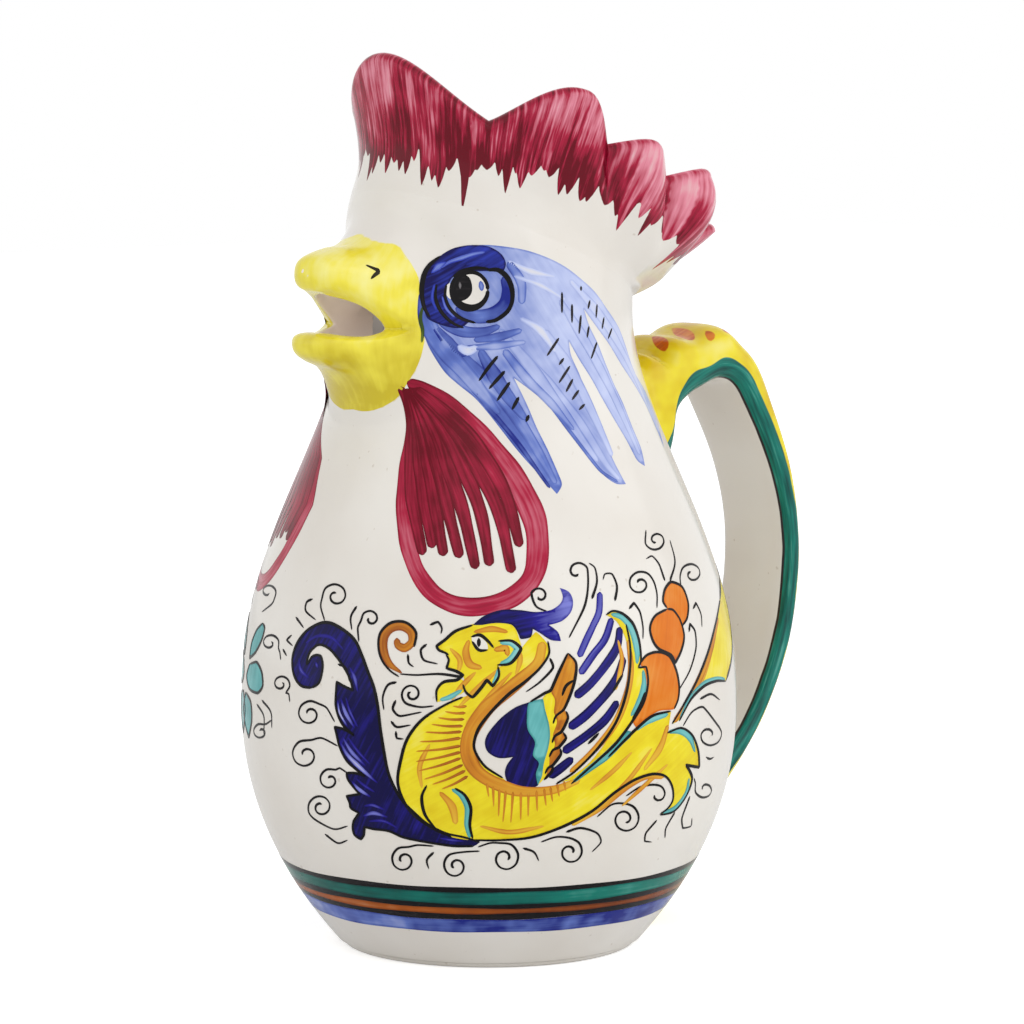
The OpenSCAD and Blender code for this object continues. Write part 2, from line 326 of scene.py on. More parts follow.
def make_foot():
    inside = FOOT_R - FOOT_ROUND - FOOT_W
    turn = np.radians(np.linspace(-90, 0, FOOT_EDGE_STEPS))
    edge_r = FOOT_R - FOOT_ROUND + FOOT_ROUND * np.cos(turn)
    edge_z = FOOT_ROUND + FOOT_ROUND * np.sin(turn)
    side_z = np.linspace(FOOT_ROUND, FOOT_H, FOOT_SIDE_STEPS)[1:]
    inner_z = np.array([FOOT_H, FOOT_H / 2, FOOT_INNER_ROUND])
    inner_r = inside + np.array([0, 0, FOOT_INNER_ROUND])
    radius = np.concatenate([[inside + 2 * FOOT_INNER_ROUND], edge_r, form_radius(side_z), inner_r])
    z = np.concatenate([[0], edge_z, side_z, inner_z])
    psi = 2 * math.pi * np.arange(COLUMNS) / COLUMNS
    points = turned(radius[:, None], psi[None, :], z[:, None])
    normals = grid_normals(points)
    sides = slice(1 + len(turn), 1 + len(turn) + len(side_z))
    normals[sides] = skin(psi[None, :], side_z[:, None])[1]
    return add_object("foot", points, closed_faces(len(z), COLUMNS), normals)


# The comb: lobes and folds round the rim, by angle from the beak
LOBE_ANGLES = np.array([0, 87, 114, 139, 161, 180])
FOLD_ANGLES = np.array([50, 101, 127, 151, 171])
LOBE_RISE_SHARES = np.array([0.86, 1, 0.86, 0.8, 0.5, 0.46])
FOLD_RISE_SHARES = np.array([0.58, 0.75, 0.68, 0.43, 0.33])
LOBE_FLARE_SHARES = np.array([0.02, 0.3, 0.56, 1, 1.22, 1.26])
FOLD_FLARE_SHARES = np.array([0, 0.1, 0.36, 0.7, 1])
SOFT_SHARES = np.array([0.55, 0.4, 0.1, 0.05, 0.05, 0.05])
LEAN_POWER = 1.3
ROLL_SHARE = 1.2
BULGE_ANGLES = (85, 125, 140, 158)
COMB_SIDES = 720
COMB_ROWS = 30
LIP_ROWS = 10
FOLD_SOFTNESS = 9
FLARE_SHARPENS = (0.1, 0.95)
COMB_SINK = 0.6
SEATED_SHARE = 0.14


def comb_value(degrees, lobes, folds):
    """Value round the comb that arches over each lobe from its value there to those at the folds."""
    a = np.abs(wrapped(degrees, 360))
    i = np.searchsorted(FOLD_ANGLES, a)
    fold = np.where(a > LOBE_ANGLES[i], i, i - 1)
    nearest = np.clip(fold, 0, len(FOLD_ANGLES) - 1)
    fold_angle = np.where(fold < 0, -FOLD_ANGLES[0], FOLD_ANGLES[nearest])
    fold_value = folds[nearest]
    u = 1 - np.abs(a - LOBE_ANGLES[i]) / np.abs(fold_angle - LOBE_ANGLES[i])
    arch = np.sin(np.pi / 2 * u)
    wave = (1 - np.cos(np.pi * u)) / 2
    return fold_value + (lobes[i] - fold_value) * (arch + (wave - arch) * SOFT_SHARES[i])


def soft_round(values, width):
    """Values round a full turn, averaged with their neighbours over a width in degrees."""
    count = len(values)
    away = np.minimum(np.arange(count), count - np.arange(count)) * 360 / count
    weight = bell(away / width)
    return np.real(np.fft.ifft(np.fft.fft(values) * np.fft.fft(weight / weight.sum())))


COMB_DEGREES = np.arange(COMB_SIDES) * 360 / COMB_SIDES
COMB_RISES = COMB_RISE * comb_value(COMB_DEGREES, LOBE_RISE_SHARES, FOLD_RISE_SHARES)
COMB_FLARES = COMB_FLARE * comb_value(COMB_DEGREES, LOBE_FLARE_SHARES, FOLD_FLARE_SHARES)
SOFT_FLARES = soft_round(COMB_FLARES, FOLD_SOFTNESS)


def comb_face(psi, v, inset=0.0):
    """Points of the comb's outer face, or of a face inset from it: v is 0 at the seat and 1 at the lip."""
    degrees = np.degrees(psi) % 360
    rise = np.interp(degrees, COMB_DEGREES, COMB_RISES, period=360)
    sharp = np.interp(degrees, COMB_DEGREES, COMB_FLARES, period=360)
    soft = np.interp(degrees, COMB_DEGREES, SOFT_FLARES, period=360)
    flare = soft + (sharp - soft) * smooth_step(*FLARE_SHARPENS, v)
    turn = np.abs(wrapped(degrees, 360))
    bulge = smooth_step(*BULGE_ANGLES[:2], turn) * (1 - smooth_step(*BULGE_ANGLES[2:], turn))
    lean = np.clip(v, 0, None) ** LEAN_POWER
    rolled = np.sin(np.pi / 2 * ROLL_SHARE * np.clip(v, 0, None)) ** LEAN_POWER
    radius = HEAD_R + flare * (lean + (rolled - lean) * bulge) - inset
    seat_r = radius * (1 - v) + HEAD_R * v
    z = SEAT_Z + seat_r * np.cos(psi) * SEAT_SLOPE + (rise - COMB_T / 2) * v
    return radius - waist(psi, z), z


# Where the comb's crimson ends, by angle from the beak and height above the seat
RED_EDGE = np.array([[0, 1.2], [20, 2.2], [33, 2.4], [41, 2.0], [52, 4.5], [72, 9.5], [99, 9.5], [125, 8],
                     [138, 3], [155, 0], [180, 0]])
TOOTH_COUNT = 84
TOOTH_STRAY = 1.3
TOOTH_WIDTH = 5.4
TOOTH_WIDTH_SHARES = (0.7, 1.35)
TOOTH_LENGTH = (2.0, 9.5)
TOOTH_DARKS = (-0.2, 0.16)
TOOTH_POWERS = (1.3, 0.75)
DRIP_ANGLE = 41.0
# Width, length and darkness of the long drip on each side
DRIP = (4.5, 13.0, 0.2)
OUTER_SEED = 5
INNER_SEED = 8
INNER_RED = 9.0
INNER_SHIFT = 3
INNER_SHARE = 0.6

# How thick the comb's crimson lies, with depths in millimetres below the lip
LEAN_DEGREES = 7.0
LEAN_ANGLES = (25, 70)
LEAN_DEPTH = 30
DEEPEST_LEAN = 60
PALE_ANGLES = (80, 120)
BASE_LOAD = 0.68
DARK_LOAD = 1.1
DARK_DEPTHS = (2, 6)
TIP_LOAD = 0.3
TIP_FADE = 7
DEEPEST_TIP = 30
TIP_PALES = 0.5
# The crimson lies thinner near the lip: partly the glaze breaking thin over the edge, partly a painted
# highlight along the lip
LOW_LOAD = 0.14
LOW_DEPTHS = (3, 14)
PALE_LOAD = 0.2
# Painted highlight: the crimson lies thinner and paler over the middle of each lobe, in its upper part
SWELL_HIGHLIGHT_LOAD = 0.2
SWELL_HIGHLIGHT_DEPTHS = (10, 26)
# Painted shade: the crimson lies darker along the crease of each fold
CREASE_LEAN = 7.0
CREASE_SHADE_LOAD = 0.3
CREASE_SHADE_WIDTH = 1.6
CREASE_SHADE_DEPTHS = (0, 4)
LIP_LOAD = 0.2
LIP_DEPTH = 1.5
LIP_WIDTH = 0.8


def comb_teeth(seed):
    """Brush strokes that pull the crimson down from the lip: angle, width, length and darkness of each."""
    rng = np.random.default_rng(seed)
    angle = np.arange(TOOTH_COUNT) * 360 / TOOTH_COUNT + rng.uniform(-TOOTH_STRAY, TOOTH_STRAY, TOOTH_COUNT)
    width = TOOTH_WIDTH * rng.uniform(*TOOTH_WIDTH_SHARES, TOOTH_COUNT)
    length = rng.uniform(*TOOTH_LENGTH, TOOTH_COUNT)
    dark = rng.uniform(*TOOTH_DARKS, TOOTH_COUNT)
    drips = np.array([[DRIP_ANGLE, *DRIP], [360 - DRIP_ANGLE, *DRIP]])
    return np.concatenate([np.stack([angle, width, length, dark], -1), drips]).T


def toothed(degrees, teeth):
    """How far the strokes reach at an angle, and the darkness of the one that reaches lowest."""
    angle, width, length, dark = teeth
    away = np.abs(wrapped(degrees[..., None] - angle, 360)) / (width / 2)
    reach = length * np.clip(1 - away ** TOOTH_POWERS[0], 0, 1) ** TOOTH_POWERS[1]
    longest = reach.argmax(-1)
    return reach.max(-1), dark[longest]


def make_comb():
    psi = np.radians(COMB_DEGREES)[None, :]
    v = np.linspace(0, 1, COMB_ROWS + 1)[:, None]
    radius_out, z_out = comb_face(psi, v)
    inset = WALL + (COMB_T - WALL) * v
    radius_in, z_in = comb_face(psi, v[::-1], inset[::-1])
    turn = np.pi * np.arange(1, LIP_ROWS)[:, None] / LIP_ROWS
    lip_r = radius_out[-1:] - COMB_T / 2 + COMB_T / 2 * np.cos(turn)
    lip_z = z_out[-1:] + COMB_T / 2 * np.sin(turn)
    root_z = SEAT_Z + (HEAD_R - WALL / 2) * np.cos(psi) * SEAT_SLOPE - COMB_SINK
    root_r = HEAD_R - WALL / 2 - waist(psi, root_z)
    radius = np.concatenate([root_r, radius_out, lip_r, radius_in])
    z = np.concatenate([root_z, z_out, lip_z, z_in])
    points = turned(radius, psi, z)
    rows = len(points)
    normals = grid_normals(points)
    outside = slice(1, COMB_ROWS + 2)
    radial = skin(psi, z_out)[1]
    seated = 1 - smooth_step(0, SEATED_SHARE, v)[..., None]
    normals[outside] = normals[outside] * (1 - seated) + radial * seated
    painted = comb_paint(psi, z, points, rows)
    flat = {key: value.reshape(rows * COMB_SIDES, -1).squeeze() for key, value in painted.items()}
    return add_object("comb_rim", points, closed_faces(rows, COMB_SIDES), normals, flat)


def comb_paint(psi, z, points, rows):
    """Marks for the comb's crimson: its distance inside the painted edge, and the way the brush went, with a
    load that holds painted shade in the folds, painted highlights on the lobes, and a thinner band at the
    lip that is partly a painted highlight.
    """
    crest = 1 + COMB_ROWS + LIP_ROWS // 2
    steps = np.linalg.norm(np.diff(points, axis=0), axis=-1)
    walked = np.concatenate([np.zeros((1, COMB_SIDES)), np.cumsum(steps, 0)])
    down = walked[crest] - walked
    degrees = np.broadcast_to(COMB_DEGREES, z.shape)
    turn = np.abs(wrapped(degrees, 360))
    side = np.sign(np.sin(np.radians(degrees)))
    lean = LEAN_DEGREES * smooth_step(*LEAN_ANGLES, turn) * side
    depth = np.clip(down, 0, DEEPEST_LEAN) / LEAN_DEPTH
    reach, dark = toothed(degrees + lean * depth, comb_teeth(OUTER_SEED))
    seat = SEAT_Z + HEAD_R * np.cos(psi) * SEAT_SLOPE
    edge = seat + np.interp(turn, *RED_EDGE.T) + TOOTH_LENGTH[1] - reach
    inner_reach, _ = toothed(degrees + INNER_SHIFT, comb_teeth(INNER_SEED))
    outside = np.arange(rows)[:, None] <= crest
    inner = INNER_RED + inner_reach * INNER_SHARE + down
    red = np.where(outside, z - edge, inner)
    pale = smooth_step(*PALE_ANGLES, turn)
    # Painted highlight: the crimson is thinned over the middle of each lobe's upper part
    swell = comb_value(degrees, np.ones(len(LOBE_ANGLES)), np.zeros(len(FOLD_ANGLES)))
    tip = np.exp(-np.clip(red, 0, DEEPEST_TIP) / TIP_FADE) * (1 - TIP_PALES * pale)
    load = BASE_LOAD + DARK_LOAD * dark * smooth_step(*DARK_DEPTHS, down) + TIP_LOAD * tip
    # Thinner crimson near the lip, partly glaze breaking over the edge and partly a painted highlight
    load = load + LOW_LOAD * smooth_step(*LOW_DEPTHS, down) - PALE_LOAD * pale
    load = load - SWELL_HIGHLIGHT_LOAD * swell ** 2 * (1 - smooth_step(*SWELL_HIGHLIGHT_DEPTHS, down))
    # Painted shade: darker crimson along each fold's crease
    for fold in FOLD_ANGLES:
        crease = turn - fold + CREASE_LEAN * depth
        load = load + CREASE_SHADE_LOAD * bell(crease / CREASE_SHADE_WIDTH) * smooth_step(*CREASE_SHADE_DEPTHS, down)
    load = load + LIP_LOAD * bell((down - LIP_DEPTH) / LIP_WIDTH)
    across = np.radians(degrees + lean * depth) * HEAD_R
    return {"red": red, "brush": np.stack([down, across, load], -1)}


# The beak, one soft form: two egg-shaped halves that flow into the head, with a hollow inside
# Each half has shares of its length, width and depth: how far out, how wide, crown, middle and lip
UPPER_SHARES = [[-0.4, 0.92, 1.08, 0, -0.5], [0, 0.89, 1.03, 0.05, -0.14], [0.2, 0.83, 0.97, 0.16, 0.03],
                [0.4, 0.75, 0.93, 0.32, 0.16], [0.6, 0.62, 0.91, 0.47, 0.28], [0.8, 0.49, 0.86, 0.56, 0.4],
                [0.92, 0.37, 0.81, 0.6, 0.44], [0.98, 0.21, 0.74, 0.62, 0.52], [1, 0.04, 0.65, 0.62, 0.6]]
LOWER_SHARES = [[-0.4, 0.92, 1.12, 0, -0.5], [0, 0.89, 1.06, 0.02, -0.16], [0.2, 0.83, 0.9, 0.06, 0],
                [0.4, 0.75, 0.65, 0.12, 0.045], [0.6, 0.62, 0.5, 0.14, 0.05], [0.8, 0.5, 0.41, 0.15, 0.03],
                [0.92, 0.38, 0.34, 0.16, 0.04], [0.98, 0.22, 0.27, 0.16, 0.09], [1, 0.04, 0.18, 0.16, 0.14]]
BEAK_POWER = 2.5
# The hollow has a share of the length, and shares of the pouring hole's radius across and up
HOLLOW_SHARES = [
    [-0.5, 0.6, 0.6], [0.05, 0.66, 0.6], [0.3, 0.76, 0.6], [0.5, 0.72, 0.6], [0.65, 0.54, 0.54],
    [0.78, 0.26, 0.36]
]
LIP_BLEND = 1.2
ROOT_BLEND = 11.0
RIM_BLEND = 1.6
ROOT_SPREAD = 11.0
ROOT_REACH = (0.8, 36.0)
ROOT_CLIMB = 3.2
PROUD = 0.015
SHARE_STEPS = 12
LEAST_REACH = 0.2
LEAST_RATIO = 1e-4
LEAST_HOLLOW = 0.05
PLATE_SINK = 1.5
PLUG_SINK = 0.2
PLUG_SPREAD = 4


def smooth_min(a, b, k):
    """The lesser of two fields, blended over a width where they meet."""
    h = np.clip(k - np.abs(a - b), 0, None) / k
    return np.minimum(a, b) - h * h * k / 4


def rounded_box(y, z, wide, tall, power):
    """How far places lie outside a rounded box with these half sizes, measured across it."""
    ratio = np.abs(y / wide) ** power + np.abs(z / tall) ** power
    ratio = np.maximum(ratio, LEAST_RATIO) ** (1 / power)
    return np.hypot(y, z) * (1 - 1 / ratio)


def ended(across, beyond):
    """How far points lie outside a form that ends, where some lie beyond its end."""
    return np.where(beyond > 0, np.hypot(np.maximum(across, 0), beyond), across)


def egg(p, shares, length, depth, side):
    """How far a point lies outside half of the beak, measured across it."""
    curve = through(shares, SHARE_STEPS)
    s = (-HEAD_R - p[..., 0]) / length
    wide, crown, middle, lip = (np.interp(s, curve[:, 0], curve[:, k]) for k in (1, 2, 3, 4))
    z = (p[..., 2] - MOUTH_Z) * side - depth * middle
    reach = np.maximum(np.where(z > 0, depth * (crown - middle), depth * (middle - lip)), LEAST_REACH)
    across = rounded_box(p[..., 1], z, BEAK_W / 2 * wide, reach, BEAK_POWER)
    return ended(across, np.clip(s - 1, 0, None) * length)


def hollow(p):
    """How far a point lies outside the spout's hollow, measured across it."""
    curve = through(HOLLOW_SHARES, SHARE_STEPS)
    length = min(UPPER_LEN, LOWER_LEN)
    s = (-HEAD_R - p[..., 0]) / length
    wide, tall = (np.interp(s, curve[:, 0], curve[:, k]) * POUR_R for k in (1, 2))
    z = p[..., 2] - (MOUTH_Z - POUR_DROP + HOLLOW_CLIMB * np.clip(s, 0, None))
    ratio = np.maximum(np.hypot(p[..., 1] / wide, z / tall), LEAST_HOLLOW)
    across = np.hypot(p[..., 1], z) * (1 - 1 / ratio)
    return ended(across, np.clip(s - HOLLOW_SHARES[-1][0], 0, None) * length)


def beak_halves(p):
    upper = egg(p, UPPER_SHARES, UPPER_LEN, UPPER_RISE, 1)
    lower = egg(p, LOWER_SHARES, LOWER_LEN, LOWER_DROP, -1)
    return upper, lower


def beak_solid(p):
    """Both halves, flowing into the head."""
    head = reach_of(p) - skin_radius(turn_of(p), p[..., 2])
    return smooth_min(smooth_min(*beak_halves(p), LIP_BLEND), head, ROOT_BLEND) - PROUD


def beak_shape(p):
    return -smooth_min(-beak_solid(p), hollow(p), RIM_BLEND)


def beak_piece(p):
    """The beak with the patch of wall that carries it, sunk into the vessel's wall at its edge."""
    radius = reach_of(p)
    edge = np.minimum(*beak_halves(p)) - ROOT_SPREAD
    off_axis = np.hypot(p[..., 1], p[..., 2] - (MOUTH_Z - POUR_DROP))
    plate = skin_radius(turn_of(p), p[..., 2]) - PLATE_SINK - radius
    plug = np.maximum(HEAD_R - WALL - PLUG_SINK - radius, off_axis - POUR_R - PLUG_SPREAD)
    back = np.minimum(plate, plug)
    return np.maximum(np.maximum(beak_shape(p), edge), back)


def surface_net(field, low, step):
    """Closed quad mesh where a field of values on a cubic grid passes through zero."""
    shape = np.array(field.shape)
    total = np.zeros(tuple(shape - 1) + (3,))
    count = np.zeros(tuple(shape - 1))
    for axis in range(3):
        others = [k for k in range(3) if k != axis]
        for offset in product((0, 1), repeat=2):
            start = np.zeros(3, int)
            start[others] = offset
            ahead = start.copy()
            ahead[axis] = 1
            a, b = (field[tuple(slice(o, o + n - 1) for o, n in zip(at, shape))] for at in (start, ahead))
            cross = (a < 0) != (b < 0)
            share = np.where(cross, a / np.where(cross, a - b, 1), 0)
            for k, o in zip(others, offset):
                total[..., k] += cross * o
            total[..., axis] += share
            count += cross
    mixed = count > 0
    number = np.full(mixed.shape, -1)
    number[mixed] = np.arange(mixed.sum())
    points = low + step * (np.argwhere(mixed) + total[mixed] / count[mixed][:, None])
    quads = []
    for axis in range(3):
        first, second = (axis + 1) % 3, (axis + 2) % 3
        inner = [slice(1, -1)] * 3
        inner[axis] = slice(0, -1)
        ahead = list(inner)
        ahead[axis] = slice(1, None)
        a, b = field[tuple(inner)] < 0, field[tuple(ahead)] < 0
        for rising in (True, False):
            at = np.argwhere((a & ~b) if rising else (b & ~a))
            at[:, first] += 1
            at[:, second] += 1
            corner = []
            for da, db in ((1, 1), (0, 1), (0, 0), (1, 0)):
                cell = at.copy()
                cell[:, first] -= da
                cell[:, second] -= db
                corner.append(number[tuple(cell.T)])
            quads.append(np.stack(corner if rising else corner[::-1], -1))
    return points, np.concatenate(quads)


def gradient(function, points, step=0.04):
    moves = np.eye(3) * step
    return np.stack([(function(points + m) - function(points - m)) / (2 * step) for m in moves], -1)


BEAK_LOW = np.array([-66.0, -34.0, 133.0])
BEAK_HIGH = np.array([-18.0, 34.0, 206.0])
BEAK_STEP = 0.62
YELLOW_DEEPENS = (182, 146)
YELLOW_LOAD = 0.56
CHIN_LOAD = 0.4
SHOWN_WITHIN = 1e-6
DRAW_ROUNDS = 3
LEAST_SLOPE = 0.05
LONGEST_DRAW = 0.3


def soft_mesh(piece, shape, low, high, step):
    """Mesh of a field's zero surface, drawn onto the field of its visible shape, with its normals."""
    axes = [np.arange(a, b, step) for a, b in zip(low, high)]
    places = np.stack(np.meshgrid(*axes, indexing="ij"), -1)
    points, quads = surface_net(piece(places), low, step)
    shown = np.abs(piece(points) - shape(points)) < SHOWN_WITHIN
    for _ in range(DRAW_ROUNDS):
        slope = gradient(shape, points)
        size = np.maximum((slope ** 2).sum(-1), LEAST_SLOPE)
        move = np.clip(shape(points) / size, -LONGEST_DRAW, LONGEST_DRAW)[:, None] * slope
        points = np.where(shown[:, None], points - move, points)
    normals = np.where(shown[:, None], gradient(shape, points), gradient(piece, points))
    return points, unit(normals), quads


def yellow_ring():
    """Edge of the beak's yellow, by angle and height, on both sides of the face."""
    near = on_form(drawn(BEAK_YELLOW))
    near = near[near[:, 0] > 0]
    return np.concatenate([near, near[::-1] * [-1, 1]])


def yellow_load(z):
    """The yellow lies thinner and paler high on the beak, and deeper towards the chin."""
    return YELLOW_LOAD + CHIN_LOAD * smooth_step(*YELLOW_DEEPENS, z)


def make_beak():
    points, normals, quads = soft_mesh(beak_piece, beak_shape, BEAK_LOW, BEAK_HIGH, BEAK_STEP)
    edge = yellow_ring() * [HEAD_R, 1]
    chart = np.stack([turn_of(points) * HEAD_R, points[:, 2]], -1)
    gap, within = beside(chart, [edge])
    marks = {"inside": -beak_solid(points), "yellow": np.where(within, gap, -gap)}
    marks["brush"] = np.stack([chart[:, 1], chart[:, 0], yellow_load(chart[:, 1])], -1)
    return add_object("beak", points, quads.tolist(), normals, marks)


# The handle, a pulled strap with soft thumb ridges whose roots flow into the vessel
# Its path has shares of the reach and height, and of the thickness for the strap and for the web below it
STRAP_SHARES = [[-0.1, 0.938, 2.5, 5.9], [0.12, 0.941, 2.5, 4], [0.225, 0.947, 2.5, 2.6],
                [0.265, 0.953, 2.5, 0.9], [0.31, 0.962, 2.5, 0.2], [0.4, 0.98, 2.45, 0],
                [0.56, 1, 2.3, 0], [0.705, 0.97, 2, 0],
                [0.82, 0.88, 1.65, 0], [0.935, 0.76, 1.3, 0], [0.995, 0.64, 1, 0], [1, 0.52, 1, 0],
                [0.945, 0.38, 1, 0], [0.82, 0.25, 1, 0], [0.68, 0.16, 1.1, 0], [0.52, 0.083, 1.3, 0],
                [0.33, 0.005, 1.9, 0], [0.02, -0.08, 2.6, 0]]
STRAP_POWER = 3.2
STRAP_STEPS = 14
STRAP_BLEND = 7.0
STRAP_SPREAD = 8.0
WEB_LEAN = 0.15
HANDLE_FLOOR = 6.0
CORNER_ANGLE = 135.0
TEAL_BAND = (4.4, 0.16)
FAR_CORNER = 2.4
# Each dab has a place along the strap, a middle across it, half its length and width, and a lean
DABS = [
    [29.4, -4.8, 2.6, 5.6, 0.3], [38.2, -3.6, 2.8, 7.4, 0.25], [40.4, -12.4, 1.8, 3.6, 0.1],
    [45.6, -9.4, 2.0, 4.8, 0.3]
]
HANDLE_LOW = np.array([26.0, -27.0, 2.0])
HANDLE_HIGH = np.array([109.0, 27.0, 182.0])
HANDLE_STEP = 0.85
STRAP_CHUNK = 20000
LEAST_STRETCH = 0.3
NO_DAB = -5.0
DAB_TAPER = 0.35


def strap_path():
    """The strap's centre line: places, ways, lengths, half thicknesses outside and inside, bends and web."""
    p = through(STRAP_SHARES, STRAP_STEPS)
    x = HEAD_R + (STRAP_REACH - HEAD_R) * p[:, 0]
    z = STRAP_LOW_Z + (STRAP_TOP_Z - STRAP_LOW_Z) * p[:, 1]
    along = np.concatenate([[0], np.cumsum(np.hypot(np.diff(x), np.diff(z)))])
    ways = unit(np.stack([np.gradient(x), np.gradient(z)], -1))
    turn = (x - HEAD_R - RIDGE_START) / RIDGE_PITCH
    ridged = (np.arange(len(x)) < len(x) / 2) & (turn > 0) & (turn < RIDGE_COUNT)
    ridge = np.where(ridged, RIDGE_H * (1 - np.cos(2 * np.pi * turn)) / 2, 0)
    outside = STRAP_T * p[:, 2] / 2 + ridge
    inside = STRAP_T * p[:, 2] / 2
    web = STRAP_T * np.clip(p[:, 3], 0, None)
    bend = np.gradient(np.unwrap(np.arctan2(ways[:, 1], ways[:, 0]))) / np.gradient(along)
    return np.stack([x, z], -1), ways, along, outside, inside, bend, web


STRAP = strap_path()


def strap_place(p):
    """Where points lie by the strap: how far along it and above its centre, and its half thickness there."""
    places, ways, along, outside, inside, bend, web = STRAP
    top = len(along) // 3
    flat = p[..., [0, 2]].reshape(-1, 2)
    near = np.concatenate([((part[:, None] - places) ** 2).sum(-1).argmin(1)
                           for part in np.array_split(flat, 1 + len(flat) // STRAP_CHUNK)])
    off = flat - places[near]
    lift = off[:, 1] * ways[near][:, 0] - off[:, 0] * ways[near][:, 1]
    length = along[near] + (off * ways[near]).sum(-1) / np.clip(1 - bend[near] * lift, LEAST_STRETCH, None)
    hang = np.where(near < top, np.interp(flat[:, 0] + WEB_LEAN * lift, places[:top, 0], web[:top]), 0)
    half = np.where(lift > 0, np.interp(length, along, outside), np.interp(length, along, inside) + hang)
    shape = p.shape[:-1]
    return length.reshape(shape), lift.reshape(shape), half.reshape(shape)


def strap_field(p, place):
    """How far points lie outside the strap, measured across it."""
    _, lift, half = place
    return rounded_box(p[..., 1], lift, STRAP_W / 2, half, STRAP_POWER)


def handle_shape(p):
    wall = reach_of(p) - form_radius(p[..., 2])
    return smooth_min(strap_field(p, strap_place(p)), wall, STRAP_BLEND) - PROUD


def handle_piece(p):
    """The strap with a thin skirt of fillet round each root, sunk into the vessel's wall at its edge."""
    strap = strap_field(p, strap_place(p))
    plate = form_radius(p[..., 2]) - PLATE_SINK - reach_of(p)
    edge = np.maximum(strap - STRAP_SPREAD, HANDLE_FLOOR - p[..., 2])
    return np.maximum(np.maximum(handle_shape(p), plate), edge)


def dab_depth(length, across):
    """How deep places lie inside the brush dabs on the strap's crown, by length along it and way across."""
    depth = np.full(len(length), NO_DAB)
    for place, middle, half_length, half_width, lean in DABS:
        end = (across - middle) / half_width
        half = half_length * (1 - DAB_TAPER - DAB_TAPER * np.clip(end, -1, 1))
        along = (length - place - lean * (across - middle)) / half
        depth = np.maximum(depth, (1 - np.hypot(along, end)) * half)
    return depth


def make_handle():
    points, normals, quads = soft_mesh(handle_piece, handle_shape, HANDLE_LOW, HANDLE_HIGH, HANDLE_STEP)
    length, lift, half = strap_place(points)
    sideways = np.abs(points[:, 1] / (STRAP_W / 2)) ** (STRAP_POWER / 2)
    upward = np.sign(lift) * np.abs(lift / half) ** (STRAP_POWER / 2)
    around = np.degrees(np.arctan2(sideways, upward))
    wall = reach_of(points) - form_radius(points[:, 2])
    _, _, along, above, below, _, web = STRAP
    outside = np.interp(length, along, above)
    inside = np.where(lift < 0, half, np.interp(length, along, below + web))
    corner = 0.5 ** (1 / STRAP_POWER)
    from_corner = np.hypot(np.abs(points[:, 1]) - corner * STRAP_W / 2, lift + corner * inside)
    from_corner = np.where(around < CORNER_ANGLE, from_corner, -from_corner)
    from_corner = from_corner - FAR_CORNER * (points[:, 1] > 0)
    band = TEAL_BAND[0] + TEAL_BAND[1] * (2 * outside - STRAP_T)
    marks = {"strap": np.stack([length, from_corner, band], -1), "wall": wall}
    marks["dab"] = dab_depth(length, points[:, 1] + np.sign(points[:, 1]) * (outside - lift))
    return add_object("handle_strap", points, quads.tolist(), normals, marks)


# Drawing on the vessel in the photograph's pixels
PIXEL_MM = 0.271
GRAIN = 1.7
LINE_SPACING = 2.4
CAST_ROUNDS = 60
BEND_EASE = 0.35
TINY = 1e-6
CHUNK = 4000


def on_form(pixels):
    """Angle from the beak and height at which rays through pixels meet the vessel's outer face."""
    pixels = np.asarray(pixels, float).reshape(-1, 2) - PICTURE / 2
    start = np.array(EYE) / MM
    ray = FOCAL_PX * np.array(AHEAD) + pixels[:, :1] * np.array(RIGHT) - pixels[:, 1:] * np.array(UP)
    a = (ray[:, :2] ** 2).sum(1)
    b = ray[:, :2] @ start[:2]
    z = start[2] - b / a * ray[:, 2]
    psi = np.zeros(len(pixels))
    for _ in range(CAST_ROUNDS):
        c = (start[:2] ** 2).sum() - skin_radius(psi, z) ** 2
        t = (-b - np.sqrt(np.clip(b * b - a * c, 0, None))) / a
        spot = start + t[:, None] * ray
        psi = (psi + turn_of(spot)) / 2
        z = (z + spot[:, 2]) / 2
    return np.stack([psi, z], -1)


def drawn(points, closed=False):
    """Smooth line through points that stays sharp where it turns back."""
    points = np.asarray(points, float).reshape(-1, 2)
    ahead = np.roll(points, -1, 0) - points
    behind = np.roll(ahead, 1, 0)
    if not closed:
        ahead[-1] = behind[-1]
        behind[0] = ahead[0]
    long_ahead, long_behind = (np.maximum(np.linalg.norm(way, axis=1), TINY) for way in (ahead, behind))
    bend = (ahead * behind).sum(1) / (long_ahead * long_behind)
    slope = (ahead + behind) / 2
    limit = np.minimum(long_ahead, long_behind) / np.maximum(np.linalg.norm(slope, axis=1), TINY)
    slope *= (np.minimum(1, limit) * np.clip(bend + BEND_EASE, 0, 1))[:, None]
    line = []
    for i in range(len(points) if closed else len(points) - 1):
        j = (i + 1) % len(points)
        t = np.linspace(0, 1, math.ceil(long_ahead[i] / LINE_SPACING), endpoint=False)[:, None]
        line.append(hermite(t, points[i], points[j], slope[i], slope[j]))
    if not closed:
        line.append(points[-1:])
    return np.concatenate(line)


